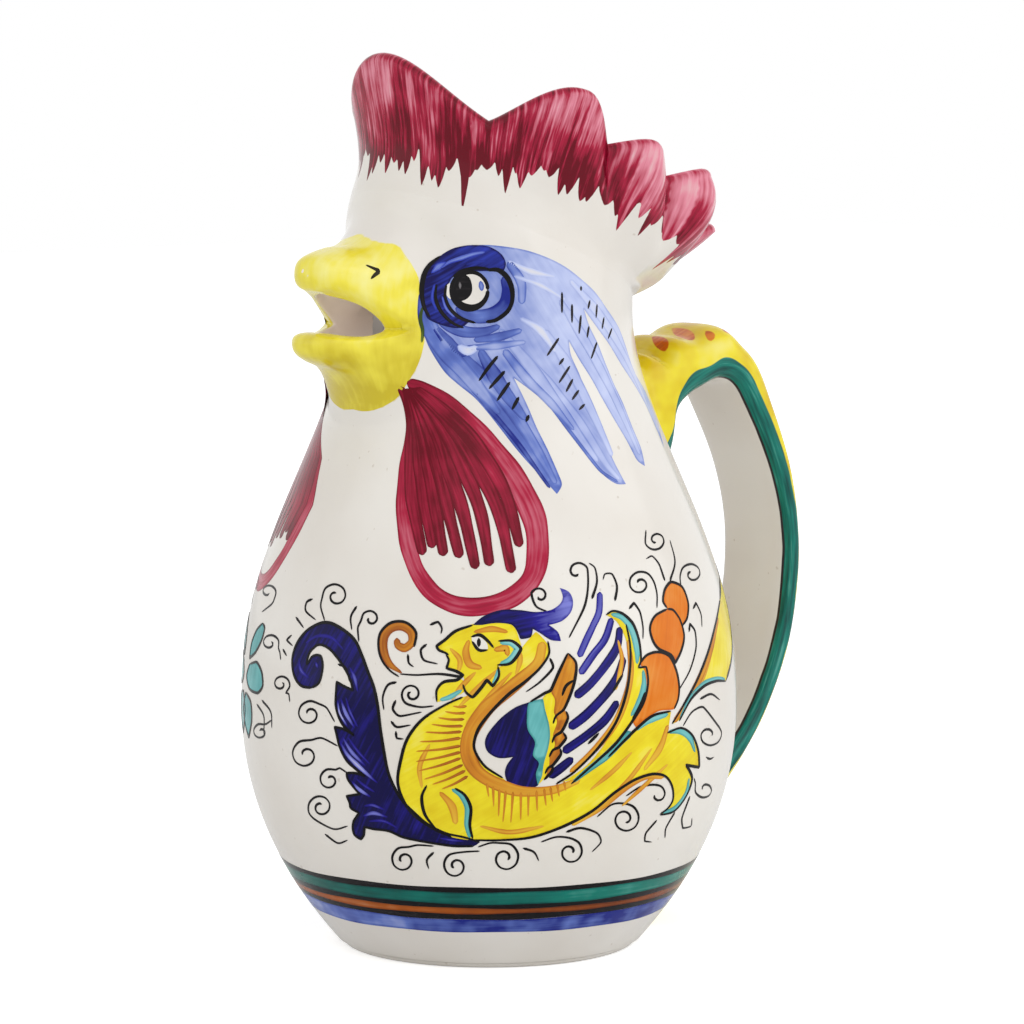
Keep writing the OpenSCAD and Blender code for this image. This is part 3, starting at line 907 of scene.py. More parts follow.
def beside(points, rings):
    """How far points lie from the edge of a drawn shape, and which of them lie inside it."""
    gap = np.full(len(points), np.inf)
    inside = np.zeros(len(points), bool)
    for ring in rings:
        for part in np.array_split(np.arange(len(points)), 1 + len(points) // CHUNK):
            a, b = ring[None, :], np.roll(ring, -1, 0)[None, :]
            p = points[part][:, None]
            way = b - a
            share = np.clip(((p - a) * way).sum(-1) / np.maximum((way ** 2).sum(-1), LEAST_LENGTH), 0, 1)
            gap[part] = np.minimum(gap[part], np.linalg.norm(p - a - way * share[..., None], axis=-1).min(1))
            rises = (a[..., 1] > p[..., 1]) != (b[..., 1] > p[..., 1])
            step = np.where(way[..., 1] == 0, 1, way[..., 1])
            cross = a[..., 0] + (p[..., 1] - a[..., 1]) * way[..., 0] / step
            inside[part] ^= ((rises & (p[..., 0] < cross)).sum(1) % 2).astype(bool)
    return gap, inside


# Paint is laid in coats: closed thin sheets on the glaze, each with its brush marks
SHEET_SINK = 0.05
SHEET_LIFT = 0.03
LAYER_LIFT = 0.022
LAYER_STRAY = 0.3
SETTLE_ROUNDS = 6
LEAST_CLIMB = 0.5
ROW_SHARE = 0.87
CLEAR_SHARE = 0.45
WELD_WITHIN = 1e-5
FARTHEST_SHIFT = 500
STROKE_COLUMNS = 5
LEAST_HALF = 0.05
LEAST_END = 0.05
WAVER = 0.035
WAVER_PITCH = 0.5
BAND_COLUMNS = 480
BAND_ROWS = 4
BAND_WOBBLE = 0.25
BAND_WAVES = ((3, 1, 0.6), (11, 2, 0.4))
BAND_UNEVEN = 0.12


def painted_skin(psi, z):
    """The vessel's outer face as paint finds it, with the soft root of the beak."""
    points, normals = skin(psi, z)
    turn = turn_of(points)
    near = (np.abs(turn) < ROOT_REACH[0]) & (np.abs(points[..., 2] - MOUTH_Z) < ROOT_REACH[1])
    if near.any():
        spots = points[near]
        out = np.stack([-np.cos(turn[near]), -np.sin(turn[near]), np.zeros(len(spots))], -1)
        for _ in range(SETTLE_ROUNDS):
            slope = (gradient(beak_solid, spots) * out).sum(-1)
            spots = spots - (beak_solid(spots) / np.maximum(slope, LEAST_CLIMB))[:, None] * out
        climb = spots - points[near]
        height = np.maximum(np.linalg.norm(climb, axis=-1, keepdims=True), TINY)
        points[near] += climb * np.minimum(1, ROOT_CLIMB / height)
        normals[near] = unit(gradient(beak_solid, spots))
    return points, normals


def by_angle(places):
    """The painted skin at angles in degrees and heights, for what lies round the side."""
    return painted_skin(np.radians(places[:, 0]), places[:, 1])


def form_ground():
    """The ground that the vessel gives to paint: where pixels meet it, and where points settle on it."""
    def hit(pixels):
        place = on_form(pixels)
        return painted_skin(place[:, 0], place[:, 1])

    def settle(points):
        return painted_skin(turn_of(points), points[..., 2])
    return hit, settle


def mesh_ground(item):
    """The ground that a finished piece gives to paint."""
    corners = [vertex.co[:] for vertex in item.data.vertices]
    tree = BVHTree.FromPolygons(corners, [face.vertices[:] for face in item.data.polygons])

    def hit(pixels):
        found = []
        for x, y in (np.asarray(pixels) - PICTURE / 2).tolist():
            ray = FOCAL_PX * AHEAD + x * RIGHT - y * UP
            spot, normal, _, _ = tree.ray_cast(EYE, ray)
            if spot is None:
                spot, normal, _, _ = tree.find_nearest(EYE + ray.normalized() * EYE.length)
            found.append((*spot, *normal))
        found = np.array(found)
        return found[:, :3] / MM, found[:, 3:]

    def settle(points):
        found = [tree.find_nearest(Vector(p) * MM)[:2] for p in points.reshape(-1, 3)]
        spots = np.array([spot for spot, _ in found]) / MM
        return spots.reshape(points.shape), np.array([normal for _, normal in found]).reshape(points.shape)
    return hit, settle


def mirrored(points, normals, mirror):
    """Points and normals on the far side of a standing plane, as high above the vessel's face as before."""
    angle = np.radians(mirror if np.isscalar(mirror) else np.interp(points[:, 2], *mirror))
    plane = -np.stack([np.cos(angle), np.sin(angle)], -1) * np.ones((len(points), 1))
    flipped = []
    for vectors in (points, normals):
        side = 2 * (vectors[:, :2] * plane).sum(-1, keepdims=True) * plane - vectors[:, :2]
        flipped.append(np.concatenate([side, vectors[:, 2:]], -1))
    old, new = (skin_radius(turn_of(p), p[:, 2]) for p in (points, flipped[0]))
    flipped[0][:, :2] *= (1 + (new - old) / reach_of(points))[:, None]
    return flipped


class Coat:
    """One pigment's patches and strokes, gathered into one piece."""

    def __init__(self, name, ground=None):
        self.name = name
        self.hit, self.settle = ground or form_ground()
        self.sheets = []
        self.rng = np.random.default_rng(len(name))

    def sheet(self, points, normals, faces, marks, edge, layer):
        """Adds a sheet with a top, a bottom and sides."""
        points, normals, marks = (np.asarray(value).reshape(-1, 3) for value in (points, normals, marks))
        count = len(points)
        sides = set()
        for shift in range(faces.shape[1]):
            for a, b in zip(faces[:, shift - 1], faces[:, shift]):
                if (b, a) in sides:
                    sides.remove((b, a))
                else:
                    sides.add((a, b))
        rim = [[b, a, a + count, b + count] for a, b in sorted(sides)]
        lift = SHEET_LIFT + LAYER_LIFT * layer
        shell = np.concatenate([points + normals * lift, points - normals * SHEET_SINK])
        all_faces = faces.tolist() + (faces[:, ::-1] + count).tolist() + rim
        self.sheets.append((shell, np.concatenate([normals, -normals]), all_faces,
                            np.tile(marks, (2, 1)), np.tile(edge.ravel(), 2)))

    def patch(self, outline, layer=0, lean=0.0, load=1.0, fade=None):
        """Fills an outline. The brush runs at an angle in degrees. Its load may fade between two pixels."""
        self.fill([on_form(drawn(outline, True))], layer, lean, load, fade)

    def fill(self, rings, layer, lean, load, fade=None):
        """Fills a ring of angles and heights, with the other rings as holes. The load may go by height."""
        scale = np.array([float(form_radius(rings[0][:, 1].mean())), 1.0])
        rings = [ring * scale for ring in rings]
        low, high = rings[0].min(0), rings[0].max(0)
        x, y = np.meshgrid(np.arange(low[0], high[0], GRAIN), np.arange(low[1], high[1], GRAIN * ROW_SHARE))
        x[1::2] += GRAIN / 2
        grid = np.stack([x.ravel(), y.ravel()], -1)
        gap, within = beside(grid, rings)
        places = np.concatenate(rings + [grid[within & (gap > CLEAR_SHARE * GRAIN)]])
        edges = []
        for ring in rings:
            ids = np.arange(len(ring)) + (edges[-1][0] + 1 if edges else 0)
            edges += [(int(a), int(b)) for a, b in zip(ids, np.roll(ids, -1))]
        spots, _, faces, _, _, _ = delaunay_2d_cdt([Vector(p) for p in places], edges, [], 0, WELD_WITHIN)
        spots = np.array(spots)
        faces = np.array(faces)
        faces = faces[beside(spots[faces].mean(1), rings)[1]]
        used, faces = np.unique(faces, return_inverse=True)
        spots, faces = spots[used], faces.reshape(-1, 3)
        points, normals = painted_skin(spots[:, 0] / scale[0], spots[:, 1])
        c, s = math.cos(math.radians(lean)), math.sin(math.radians(lean))
        shift = self.rng.uniform(0, FARTHEST_SHIFT)
        along, across = spots @ [c, s] + shift, spots @ [-s, c] + shift
        weight = load(spots[:, 1]) if callable(load) else np.full(len(spots), float(np.mean(load)))
        if fade is not None:
            first, last = on_form(fade) * scale
            way = last - first
            share = np.clip(((spots - first) @ way) / (way @ way), 0, 1)
            weight = load[0] + (load[1] - load[0]) * share
        edge = beside(spots, rings)[0]
        self.sheet(points, normals, faces, np.stack([along, across, weight], -1), edge, layer)

    def stroke(self, line, width, layer=0, load=1.0, hit=None):
        """One pull of the brush along a line, with widths in pixels and loads spread from end to end."""
        places = drawn(line)
        points, normals = (hit or self.hit)(places)
        side = np.cross(normals, unit(np.gradient(points, axis=0)))
        along = np.concatenate([[0], np.cumsum(np.linalg.norm(np.diff(points, axis=0), axis=1))])
        share = along / along[-1]
        width, load = (np.atleast_1d(np.asarray(value, float)) for value in (width, load))
        half = PIXEL_MM / 2 * np.interp(share, np.linspace(0, 1, len(width)), width)
        to_end = np.minimum(along, along[-1] - along)
        from_round = 1 - np.clip(to_end / np.maximum(half, LEAST_HALF), 0, 1)
        half = half * np.sqrt(np.clip(1 - from_round ** 2, LEAST_END, 1))
        half = half * (1 + WAVER * np.sin(along * WAVER_PITCH + self.rng.uniform(0, 6)))
        columns = np.linspace(-1, 1, STROKE_COLUMNS)
        spots = points[:, None] + side[:, None] * (half[:, None] * columns)[..., None]
        points, normals = self.settle(spots)
        shift = self.rng.uniform(0, FARTHEST_SHIFT)
        across = half[:, None] * columns
        weight = np.interp(share, np.linspace(0, 1, len(load)), load)
        grids = np.broadcast_arrays(along[:, None] + shift, across + shift, weight[:, None])
        faces = grid_faces(len(places), STROKE_COLUMNS, closed=False, flip=True)
        edge = half[:, None] * (1 - np.abs(columns))
        layer = layer + self.rng.uniform(0, LAYER_STRAY)
        self.sheet(points, normals, faces, np.stack(grids, -1), edge, layer)

    def strokes(self, lines, width, layer=0, load=1.0):
        """Pulls of the same widths and loads along many lines."""
        for line in lines:
            self.stroke(line, width, layer, load)

    def pulls(self, table, layer):
        """Pulls with their own widths and loads."""
        for line, width, load in table:
            self.stroke(line, width, layer, load)

    def band(self, low, high, layer, load):
        """A ring painted while the vessel turned on a wheel."""
        psi = 2 * np.pi * np.arange(BAND_COLUMNS) / BAND_COLUMNS
        rows = np.linspace(0, 1, BAND_ROWS)[:, None]
        waves = [BAND_WOBBLE * sum(np.sin(psi * n + phase * z) * share for n, phase, share in BAND_WAVES)
                 for z in (low, high)]
        z = (low + waves[0]) * (1 - rows) + (high + waves[1]) * rows
        points, normals = skin(psi[None, :], z)
        along = psi[None, :] * form_radius(z)
        weight = load + BAND_UNEVEN * np.sin(psi * 2 + low)[None, :]
        marks = np.stack(np.broadcast_arrays(along, z, weight), -1)
        edge = np.broadcast_to((high - low) * np.minimum(rows, 1 - rows), z.shape)
        self.sheet(points, normals, grid_faces(BAND_ROWS, BAND_COLUMNS), marks, edge, layer)

    def finish(self, material, slot, mirror=None):
        """Makes the piece, with its likeness beyond a plane at an angle, or at angles by height."""
        if mirror is not None:
            for points, normals, part, marks, edge in list(self.sheets):
                flipped = [face[::-1] for face in part]
                self.sheets.append((*mirrored(points, normals, mirror), flipped, marks, edge))
        faces = []
        start = 0
        for points, _, part, _, _ in self.sheets:
            faces += [[i + start for i in face] for face in part]
            start += len(points)
        points, normals, marks, edge = (np.concatenate([s[k] for s in self.sheets]) for k in (0, 1, 3, 4))
        piece = add_object(self.name, points, faces, normals, {"brush": marks, "edge": edge})
        piece.data.materials.append(material)
        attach(piece, "root")


CURL_LEAST = 6
CURL_STEPS = 9
CURL_IN = 0.78


def curl(x, y, radius, start, turns, stem=()):
    """Tendril: a stem of pixels that winds into a spiral from an angle, one way or the other."""
    t = np.linspace(0, 1, max(CURL_LEAST, int(abs(turns) * CURL_STEPS)))
    angle = np.radians(start) + 2 * np.pi * turns * t
    reach = radius * (1 - CURL_IN * t)
    spiral = np.stack([x + reach * np.cos(angle), y - reach * np.sin(angle)], -1)
    return np.concatenate([np.asarray(stem, float).reshape(-1, 2), spiral])


# Glazes and pigments
GLAZE_INDEX = 1.52
GLAZE_ROUGHNESS = 0.16
HAIR_STRETCH = 0.07
BLOTCH_SCALE = 120.0
POOL_WIDTH = 0.7
PEEL = 0.02
PEEL_SCALES = (260.0, 60.0)
PEEL_SHARE = 2.0
PEEL_DEPTH = 0.002


def linear(*colour):
    """Colour written as the 0 to 255 values that a picture shows."""
    share = np.array(colour) / 255
    return tuple(np.where(share <= 0.04045, share / 12.92, ((share + 0.055) / 1.055) ** 2.4)) + (1.0,)


class Graph:
    """A glossy material's nodes, with short calls for the ones used here."""

    def __init__(self, name, specular=0.5):
        self.material = bpy.data.materials.new(name)
        self.material.use_nodes = True
        self.tree = self.material.node_tree
        self.shader = self.tree.nodes["Principled BSDF"]
        self.shader.inputs["Roughness"].default_value = GLAZE_ROUGHNESS
        self.shader.inputs["IOR"].default_value = GLAZE_INDEX
        self.shader.inputs["Specular IOR Level"].default_value = specular

    def node(self, kind, inputs, **settings):
        made = self.tree.nodes.new(kind)
        for key, value in settings.items():
            setattr(made, key, value)
        for key, value in inputs.items():
            if isinstance(value, bpy.types.NodeSocket):
                self.tree.links.new(value, made.inputs[key])
            else:
                made.inputs[key].default_value = value
        return made.outputs

    def math(self, operation, a, b=0.0):
        return self.node("ShaderNodeMath", {0: a, 1: b}, operation=operation)[0]

    def step(self, value, low, high):
        """0 below low, 1 above high, with a soft change between. High may be the smaller of the two."""
        settings = {"Value": value, "From Min": low, "From Max": high}
        return self.node("ShaderNodeMapRange", settings, interpolation_type="SMOOTHSTEP")[0]

    def mark(self, name, part=None):
        outputs = self.node("ShaderNodeAttribute", {}, attribute_name=name)
        if part is None:
            return outputs["Fac"]
        return self.node("ShaderNodeSeparateXYZ", {0: outputs["Vector"]})[part]

    def noise(self, vector, scale, detail=2.0):
        return self.node("ShaderNodeTexNoise", {"Vector": vector, "Scale": scale, "Detail": detail})["Fac"]

    def here(self):
        return self.node("ShaderNodeTexCoord", {})["Object"]

    def ramp(self, value, stops):
        made = self.tree.nodes.new("ShaderNodeValToRGB")
        bar = made.color_ramp.elements
        while len(bar) < len(stops):
            bar.new(0.5)
        for mark, (place, colour) in zip(bar, stops):
            mark.position = place
            mark.color = colour
        self.tree.links.new(value, made.inputs["Fac"])
        return made.outputs["Color"]

    def mix(self, share, a, b):
        """Colour between a and b. A mix node keeps its colours in inputs 6 and 7, and in output 2."""
        return self.node("ShaderNodeMix", {"Factor": share, 6: a, 7: b}, data_type="RGBA")[2]

    def uneven(self, value, scale, reach):
        """A value with noise of some reach added."""
        return self.math("ADD", value, self.math("MULTIPLY", self.noise(self.here(), scale), reach))

    def either_way(self, noise, reach):
        """Noise that goes up and down from zero."""
        return self.math("MULTIPLY", self.math("SUBTRACT", noise, 0.5), reach)

    def hairs(self, along, across, stretch):
        """Noise drawn out along the brush."""
        drawn_out = {0: self.math("MULTIPLY", along, stretch), 1: across}
        return self.noise(self.node("ShaderNodeCombineXYZ", drawn_out)[0], 1.0, 3.0)

    def density(self, streak, blotch, pool=0.0):
        """How thick the pigment lies, from the brush's load, its hair marks and pooling at the edge."""
        along, across, load = (self.mark("brush", k) for k in range(3))
        marks = self.either_way(self.hairs(along, across, HAIR_STRETCH), streak)
        spots = self.either_way(self.noise(self.here(), BLOTCH_SCALE), blotch)
        thick = self.math("MULTIPLY", load, self.math("ADD", self.math("ADD", marks, spots), 1.0))
        if pool:
            pooled = self.step(self.mark("edge"), POOL_WIDTH, 0.0)
            thick = self.math("ADD", thick, self.math("MULTIPLY", pooled, pool))
        return thick

    def finish(self, colour):
        """Sets the colour and the faint orange peel of fired glaze."""
        self.tree.links.new(colour, self.shader.inputs["Base Color"])
        waves = self.uneven(self.noise(self.here(), PEEL_SCALES[0]), PEEL_SCALES[1], PEEL_SHARE)
        bump = self.node("ShaderNodeBump", {"Strength": PEEL, "Distance": PEEL_DEPTH, "Height": waves})
        self.tree.links.new(bump[0], self.shader.inputs["Normal"])
        return self.material


GLAZE = linear(232, 228, 221)
GLAZE_THIN = linear(222, 216, 207)
GLAZE_SPECK = linear(176, 160, 140)
# Painted light: the glaze deep inside the spout is lighter and warmer than the glaze outside
GLAZE_LIT_HOLLOW = linear(250, 238, 228)
CLOUD_SCALE = 22.0
SPECK_SCALE = 520.0
SPECK_STEP = (0.74, 0.8)
SPECK_SHARE = 0.35
CRIMSON_EDGE = (0.3, 0.6)
YELLOW_EDGE = (0.4, 0.9)
# Depths in millimetres inside the spout over which the yellow gives way to the hollow's painted light
MOUTH_EDGE = (0.6, 0.1)
STRAP_CLOUD = 90.0
STRAP_HAIR_STRETCH = 0.06
WANDER_SCALE = 60.0
WANDER = 1.2
DAB_SOFT = 0.25
BAND_SOFT = 0.15
LINE_IN = 0.3
LINE_OUT = 0.5
WALL_UNEVEN = 0.5
WALL_EDGE = (0.35, 0.6)
COLOURS = {
    "crimson": ((226, 140, 158), (172, 28, 62), (104, 0, 24)),
    "blue": ((194, 204, 240), (96, 118, 194), (26, 38, 132)),
    "navy": ((128, 132, 214), (34, 26, 140), (8, 4, 66)),
    "yellow": ((246, 240, 160), (238, 221, 42), (214, 178, 8)),
    "lemon": ((246, 240, 150), (240, 226, 62), (208, 188, 12)),
    "orange": ((240, 180, 90), (222, 118, 20), (184, 82, 10)),
    "ochre": ((232, 190, 60), (206, 132, 36), (150, 76, 24)),
    "teal": ((120, 196, 182), (14, 122, 108), (2, 70, 66)),
    "turquoise": ((196, 226, 224), (112, 190, 190), (44, 132, 134)),
    "black": ((150, 146, 148), (44, 38, 42), (8, 6, 9)),
    "green": ((206, 212, 120), (122, 146, 54), (54, 74, 26)),
    "cobalt": ((150, 170, 232), (46, 62, 176), (12, 10, 78)),
    "olive": ((200, 180, 60), (96, 84, 26), (34, 30, 12)),
    "dab": ((236, 164, 60), (214, 112, 22), (172, 78, 12)),
    "brown": ((214, 174, 130), (168, 84, 20), (104, 46, 14)),
}


def shades(name):
    return [linear(*colour) for colour in COLOURS[name]]


def by_thickness(graph, thick, name, tint_at, body_at, under=GLAZE):
    """A pigment's colour where it lies this thick over what is under it."""
    tint, body, deep = shades(name)
    return graph.ramp(thick, [(0.0, under), (tint_at, tint), (body_at, body), (1.0, deep)])


def pigment(name, under=GLAZE, streak=0.9, blotch=0.5, pool=0.22):
    graph = Graph("paint_" + name, specular=0.15)
    thick = graph.density(streak, blotch, pool)
    return graph.finish(by_thickness(graph, thick, name, tint_at=0.28, body_at=0.66, under=under))


def tin_white(graph):
    """Opaque white glaze: thinner and warmer in soft clouds, with a few tan specks."""
    cloud = graph.noise(graph.here(), CLOUD_SCALE, 3.0)
    speck = graph.step(graph.noise(graph.here(), SPECK_SCALE, 1.0), *SPECK_STEP)
    colour = graph.ramp(cloud, [(0.3, GLAZE_THIN), (0.62, GLAZE)])
    return graph.mix(graph.math("MULTIPLY", speck, SPECK_SHARE), colour, GLAZE_SPECK)


def white_glaze():
    graph = Graph("white_glaze")
    return graph.finish(tin_white(graph))


def comb_glaze():
    graph = Graph("crimson_glaze", specular=0.2)
    thick = graph.density(streak=2.3, blotch=0.9)
    paint = by_thickness(graph, thick, "crimson", tint_at=0.34, body_at=0.66)
    ragged = graph.uneven(graph.mark("red"), scale=420.0, reach=0.8)
    return graph.finish(graph.mix(graph.step(ragged, *CRIMSON_EDGE), tin_white(graph), paint))


def lemon(graph):
    thick = graph.density(streak=0.4, blotch=1.3)
    return by_thickness(graph, thick, "lemon", tint_at=0.34, body_at=0.62)


def lemon_glaze():
    graph = Graph("paint_lemon")
    return graph.finish(lemon(graph))


def beak_glaze():
    graph = Graph("yellow_glaze")
    paint = lemon(graph)
    ragged = graph.uneven(graph.mark("yellow"), scale=300.0, reach=1.2)
    outside = graph.step(graph.mark("inside"), *MOUTH_EDGE)
    covered = graph.math("MULTIPLY", graph.step(ragged, *YELLOW_EDGE), outside)
    # Painted light: lighter, warmer glaze deep inside the spout's hollow
    lit_hollow = graph.mix(outside, GLAZE_LIT_HOLLOW, tin_white(graph))
    return graph.finish(graph.mix(covered, lit_hollow, paint))


def handle_glaze():
    graph = Graph("handle_glaze", specular=0.25)
    yellow, teal, black, ochre = (shades(name) for name in ("yellow", "teal", "black", "dab"))
    along, corner, band = (graph.mark("strap", k) for k in range(3))
    cloud = graph.noise(graph.here(), STRAP_CLOUD)
    hairs = graph.hairs(along, corner, STRAP_HAIR_STRETCH)
    wander = graph.math("SUBTRACT", graph.noise(graph.here(), WANDER_SCALE), 0.5)
    off = graph.math("ADD", corner, graph.math("MULTIPLY", wander, WANDER))
    over = graph.math("SUBTRACT", off, band)
    top = graph.ramp(cloud, [(0.3, yellow[2]), (0.58, yellow[1]), (1.0, yellow[0])])
    edge = graph.ramp(hairs, [(0.3, teal[2]), (0.58, teal[1]), (1.0, teal[0])])
    dab = graph.math("ADD", graph.mark("dab"), wander)
    stroke = graph.ramp(hairs, [(0.25, ochre[2]), (0.5, ochre[1]), (0.8, ochre[0])])
    top = graph.mix(graph.step(dab, 0.0, DAB_SOFT), top, stroke)
    colour = graph.mix(graph.step(over, BAND_SOFT, -BAND_SOFT), top, edge)
    colour = graph.mix(graph.step(off, LINE_OUT, LINE_IN), colour, black[1])
    colour = graph.mix(graph.step(off, -LINE_IN, -LINE_OUT), colour, tin_white(graph))
    from_wall = graph.math("ADD", graph.mark("wall"), graph.math("MULTIPLY", cloud, WALL_UNEVEN))
    clear = graph.step(from_wall, *WALL_EDGE)
    return graph.finish(graph.mix(clear, tin_white(graph), colour))


# The rooster's face, in pixels of the photograph
BEAK_YELLOW = [
    (336, 245), (341, 229), (359, 232), (372, 233), (388, 241), (402, 244), (413, 258), (422, 277),
    (424, 300), (423, 322), (427, 341), (420, 367), (402, 396), (385, 407), (368, 411), (351, 407),
    (331, 396), (324, 388)
]
FEATHERS = [
    (427, 273), (438, 258), (459, 249), (479, 245), (500, 246), (525, 250), (546, 257), (564, 266),
    (580, 278), (595, 292), (607, 309), (618, 326), (625, 344), (634, 371), (645, 391), (655, 414),
    (664, 447), (657, 430), (646, 405), (634, 384), (621, 364), (609, 344), (596, 326), (584, 309),
    (589, 325), (598, 344), (605, 362), (614, 384), (623, 403), (632, 426), (641, 448), (645, 466),
    (637, 460), (627, 441), (614, 419), (602, 398), (591, 378), (579, 359), (569, 341), (571, 355),
    (579, 373), (586, 391), (593, 409), (602, 430), (612, 457), (621, 475), (626, 484), (617, 484),
    (607, 478), (600, 471), (589, 459), (575, 439), (561, 419), (546, 403), (529, 389), (514, 378),
    (523, 396), (529, 409), (537, 428), (548, 450), (559, 475), (562, 485), (557, 494), (548, 484),
    (536, 471), (525, 459), (514, 446), (500, 428), (489, 414), (475, 398), (459, 385), (446, 373),
    (436, 357), (429, 341), (424, 318), (424, 295)
]
FEATHER_PULLS = [([(436, 325), (452, 358), (480, 390), (512, 430), (550, 482)], 13, 0.7),
                 ([(446, 340), (478, 372), (508, 404), (536, 448), (556, 484)], 13, 0.64),
                 ([(500, 330), (530, 366), (560, 408), (598, 462)], 13, 0.42),
                 ([(520, 350), (552, 388), (582, 426), (606, 464), (620, 480)], 12, 0.38),
                 ([(545, 330), (572, 372), (594, 416), (612, 456)], 12, 0.34),
                 ([(560, 300), (588, 346), (614, 396), (640, 455)], 12, 0.36),
                 ([(570, 280), (602, 318), (626, 358), (656, 425)], 11, 0.24)]
FEATHER_WASHES = [
    ([(427, 290), (430, 322), (446, 350), (470, 378), (500, 414)], [10, 18, 18, 14, 5],
     [0.9, 0.66, 0.56, 0.6]),
    ([(436, 326), (450, 343), (466, 356)], [6, 11, 6], [0.9, 0.88, 0.7]),
    ([(436, 308), (446, 322), (462, 331), (482, 332), (500, 326)], [8, 12, 12, 9, 5],
     [0.95, 0.9, 0.84, 0.7]),
    ([(474, 340), (498, 337), (522, 330)], [6, 9, 5], [0.8, 0.72, 0.5]),
    ([(466, 348), (494, 346), (526, 342)], [5, 8, 5], [0.7, 0.62, 0.4]),
    ([(458, 346), (468, 351), (478, 347)], [6, 9, 6], [0.3, 0.16, 0.3]),
    ([(480, 350), (490, 368), (505, 392), (526, 420)], [8, 14, 13, 6], [0.76, 0.74, 0.66]),
    ([(522, 304), (521, 282), (508, 262)], [7, 10, 7], [0.5, 0.5, 0.6]),
    ([(508, 261), (530, 271), (556, 277)], [3, 6, 3], [0.2, 0.12, 0.2]),
    ([(514, 276), (540, 285), (566, 300)], [3, 5, 3], [0.3, 0.14, 0.2]),
    ([(520, 318), (540, 330), (556, 352)], [4, 8, 4], [0.3, 0.14, 0.2]),
    ([(504, 350), (526, 378), (550, 402), (574, 430)], [8, 10, 9, 4], [0.6, 0.5, 0.44]),
    ([(462, 378), (492, 412), (520, 446), (550, 488)], [3, 5, 5, 3], [0.76, 0.82, 0.78]),
    ([(546, 400), (572, 434), (600, 470), (618, 482)], [3, 4, 4, 3], [0.5, 0.6, 0.56])
]
FEATHER_DASHES = [
    [(498, 356), (489, 367), (479, 381)], [(505, 371), (489, 389)], [(510, 382), (497, 401)],
    [(519, 397), (512, 410)], [(529, 415), (526, 422)], [(559, 338), (547, 356)],
    [(564, 358), (559, 365)], [(570, 366), (559, 383)], [(573, 379), (566, 392)],
    [(579, 390), (572, 400)], [(585, 404), (579, 410)], [(562, 292), (562, 313)],
    [(572, 304), (572, 323)], [(581, 315), (579, 334)], [(589, 326), (587, 338)],
    [(597, 342), (591, 359)], [(581, 286), (581, 291)], [(590, 300), (588, 309)],
    [(597, 304), (596, 318)], [(604, 317), (602, 329)], [(612, 328), (608, 339)]
]
DARK_DASHES = 5
BROW = [
    (431, 319), (427, 309), (425, 298), (426, 284), (428, 272), (434, 263), (442, 255), (452, 249),
    (463, 246), (475, 245), (487, 246), (496, 250), (503, 256), (506, 264), (503, 271), (490, 271),
    (478, 271), (466, 270), (456, 274), (450, 282), (447, 292), (449, 303), (455, 312), (462, 318),
    (469, 322), (460, 328), (446, 326)
]
BROW_LIGHTS = [
    ([(441, 268), (450, 262), (462, 258), (474, 254), (485, 252)], 5, 0.4),
    ([(433, 273), (440, 266), (447, 262)], 7, 0.42), ([(466, 265), (476, 262), (486, 261)], 3, 0.6),
    ([(436, 284), (434, 298), (438, 310)], 3, 0.55), ([(443, 296), (447, 308), (455, 317)], 3, 0.5)
]
BROW_EDGE = [(441, 256), (432, 264), (427, 274), (425, 290), (427, 306), (432, 317)]
EYE_WASH = [(503, 277), (508, 292), (504, 306), (490, 315), (472, 316), (456, 308)]
EYE_RING = [(487, 270), (498, 270), (507, 277), (512, 289), (512, 302), (507, 312), (496, 320), (486, 322)]
EYE_LINES = [
    [(438, 284), (437, 297), (442, 311), (452, 322), (464, 328)],
    [(447, 284), (446, 297), (451, 309), (461, 318), (476, 323)],
    [(453, 277), (462, 271), (476, 268), (490, 269)]
]
EYE_X, EYE_Y = 470.5, 290.0
IRIS = (17.5, 18.0)
PUPIL = [
    (462, 274), (469, 277), (472, 284), (472, 292), (468, 298), (461, 301), (454, 297), (451, 290),
    (452, 281), (456, 276)
]
GREEN_EDGE = [(426, 306), (424, 318), (426, 330), (425, 342)]
NOSTRIL = [(366, 265), (373, 268), (380, 271), (375, 275), (371, 279)]
NOSTRIL_TIP = 2
WATTLE_RING = [
    (405, 386), (409, 404), (410, 424), (408, 445), (404, 466), (403, 490), (403, 512), (406, 535),
    (410, 552), (418, 573), (432, 592), (450, 603), (469, 607), (490, 605), (511, 598), (528, 584),
    (536, 568), (538, 545), (535, 521), (525, 497), (510, 472), (491, 447), (469, 422), (447, 402),
    (424, 387), (411, 382)
]
WATTLE_FINGERS = [[(410, 388), (413, 420), (412, 455), (412, 497), (423, 555)],
                  [(411, 388), (418, 430), (421, 470), (425, 505), (433, 548)],
                  [(412, 388), (423, 430), (430, 470), (436, 510), (444, 556)],
                  [(413, 388), (429, 430), (439, 470), (448, 510), (460, 558)],
                  [(414, 388), (436, 430), (451, 475), (464, 515), (476, 569)],
                  [(415, 388), (444, 428), (466, 474), (481, 514), (490, 566)],
                  [(416, 388), (454, 428), (481, 474), (500, 516), (512, 573)],
                  [(418, 388), (464, 430), (492, 468), (508, 500), (520, 547)]]

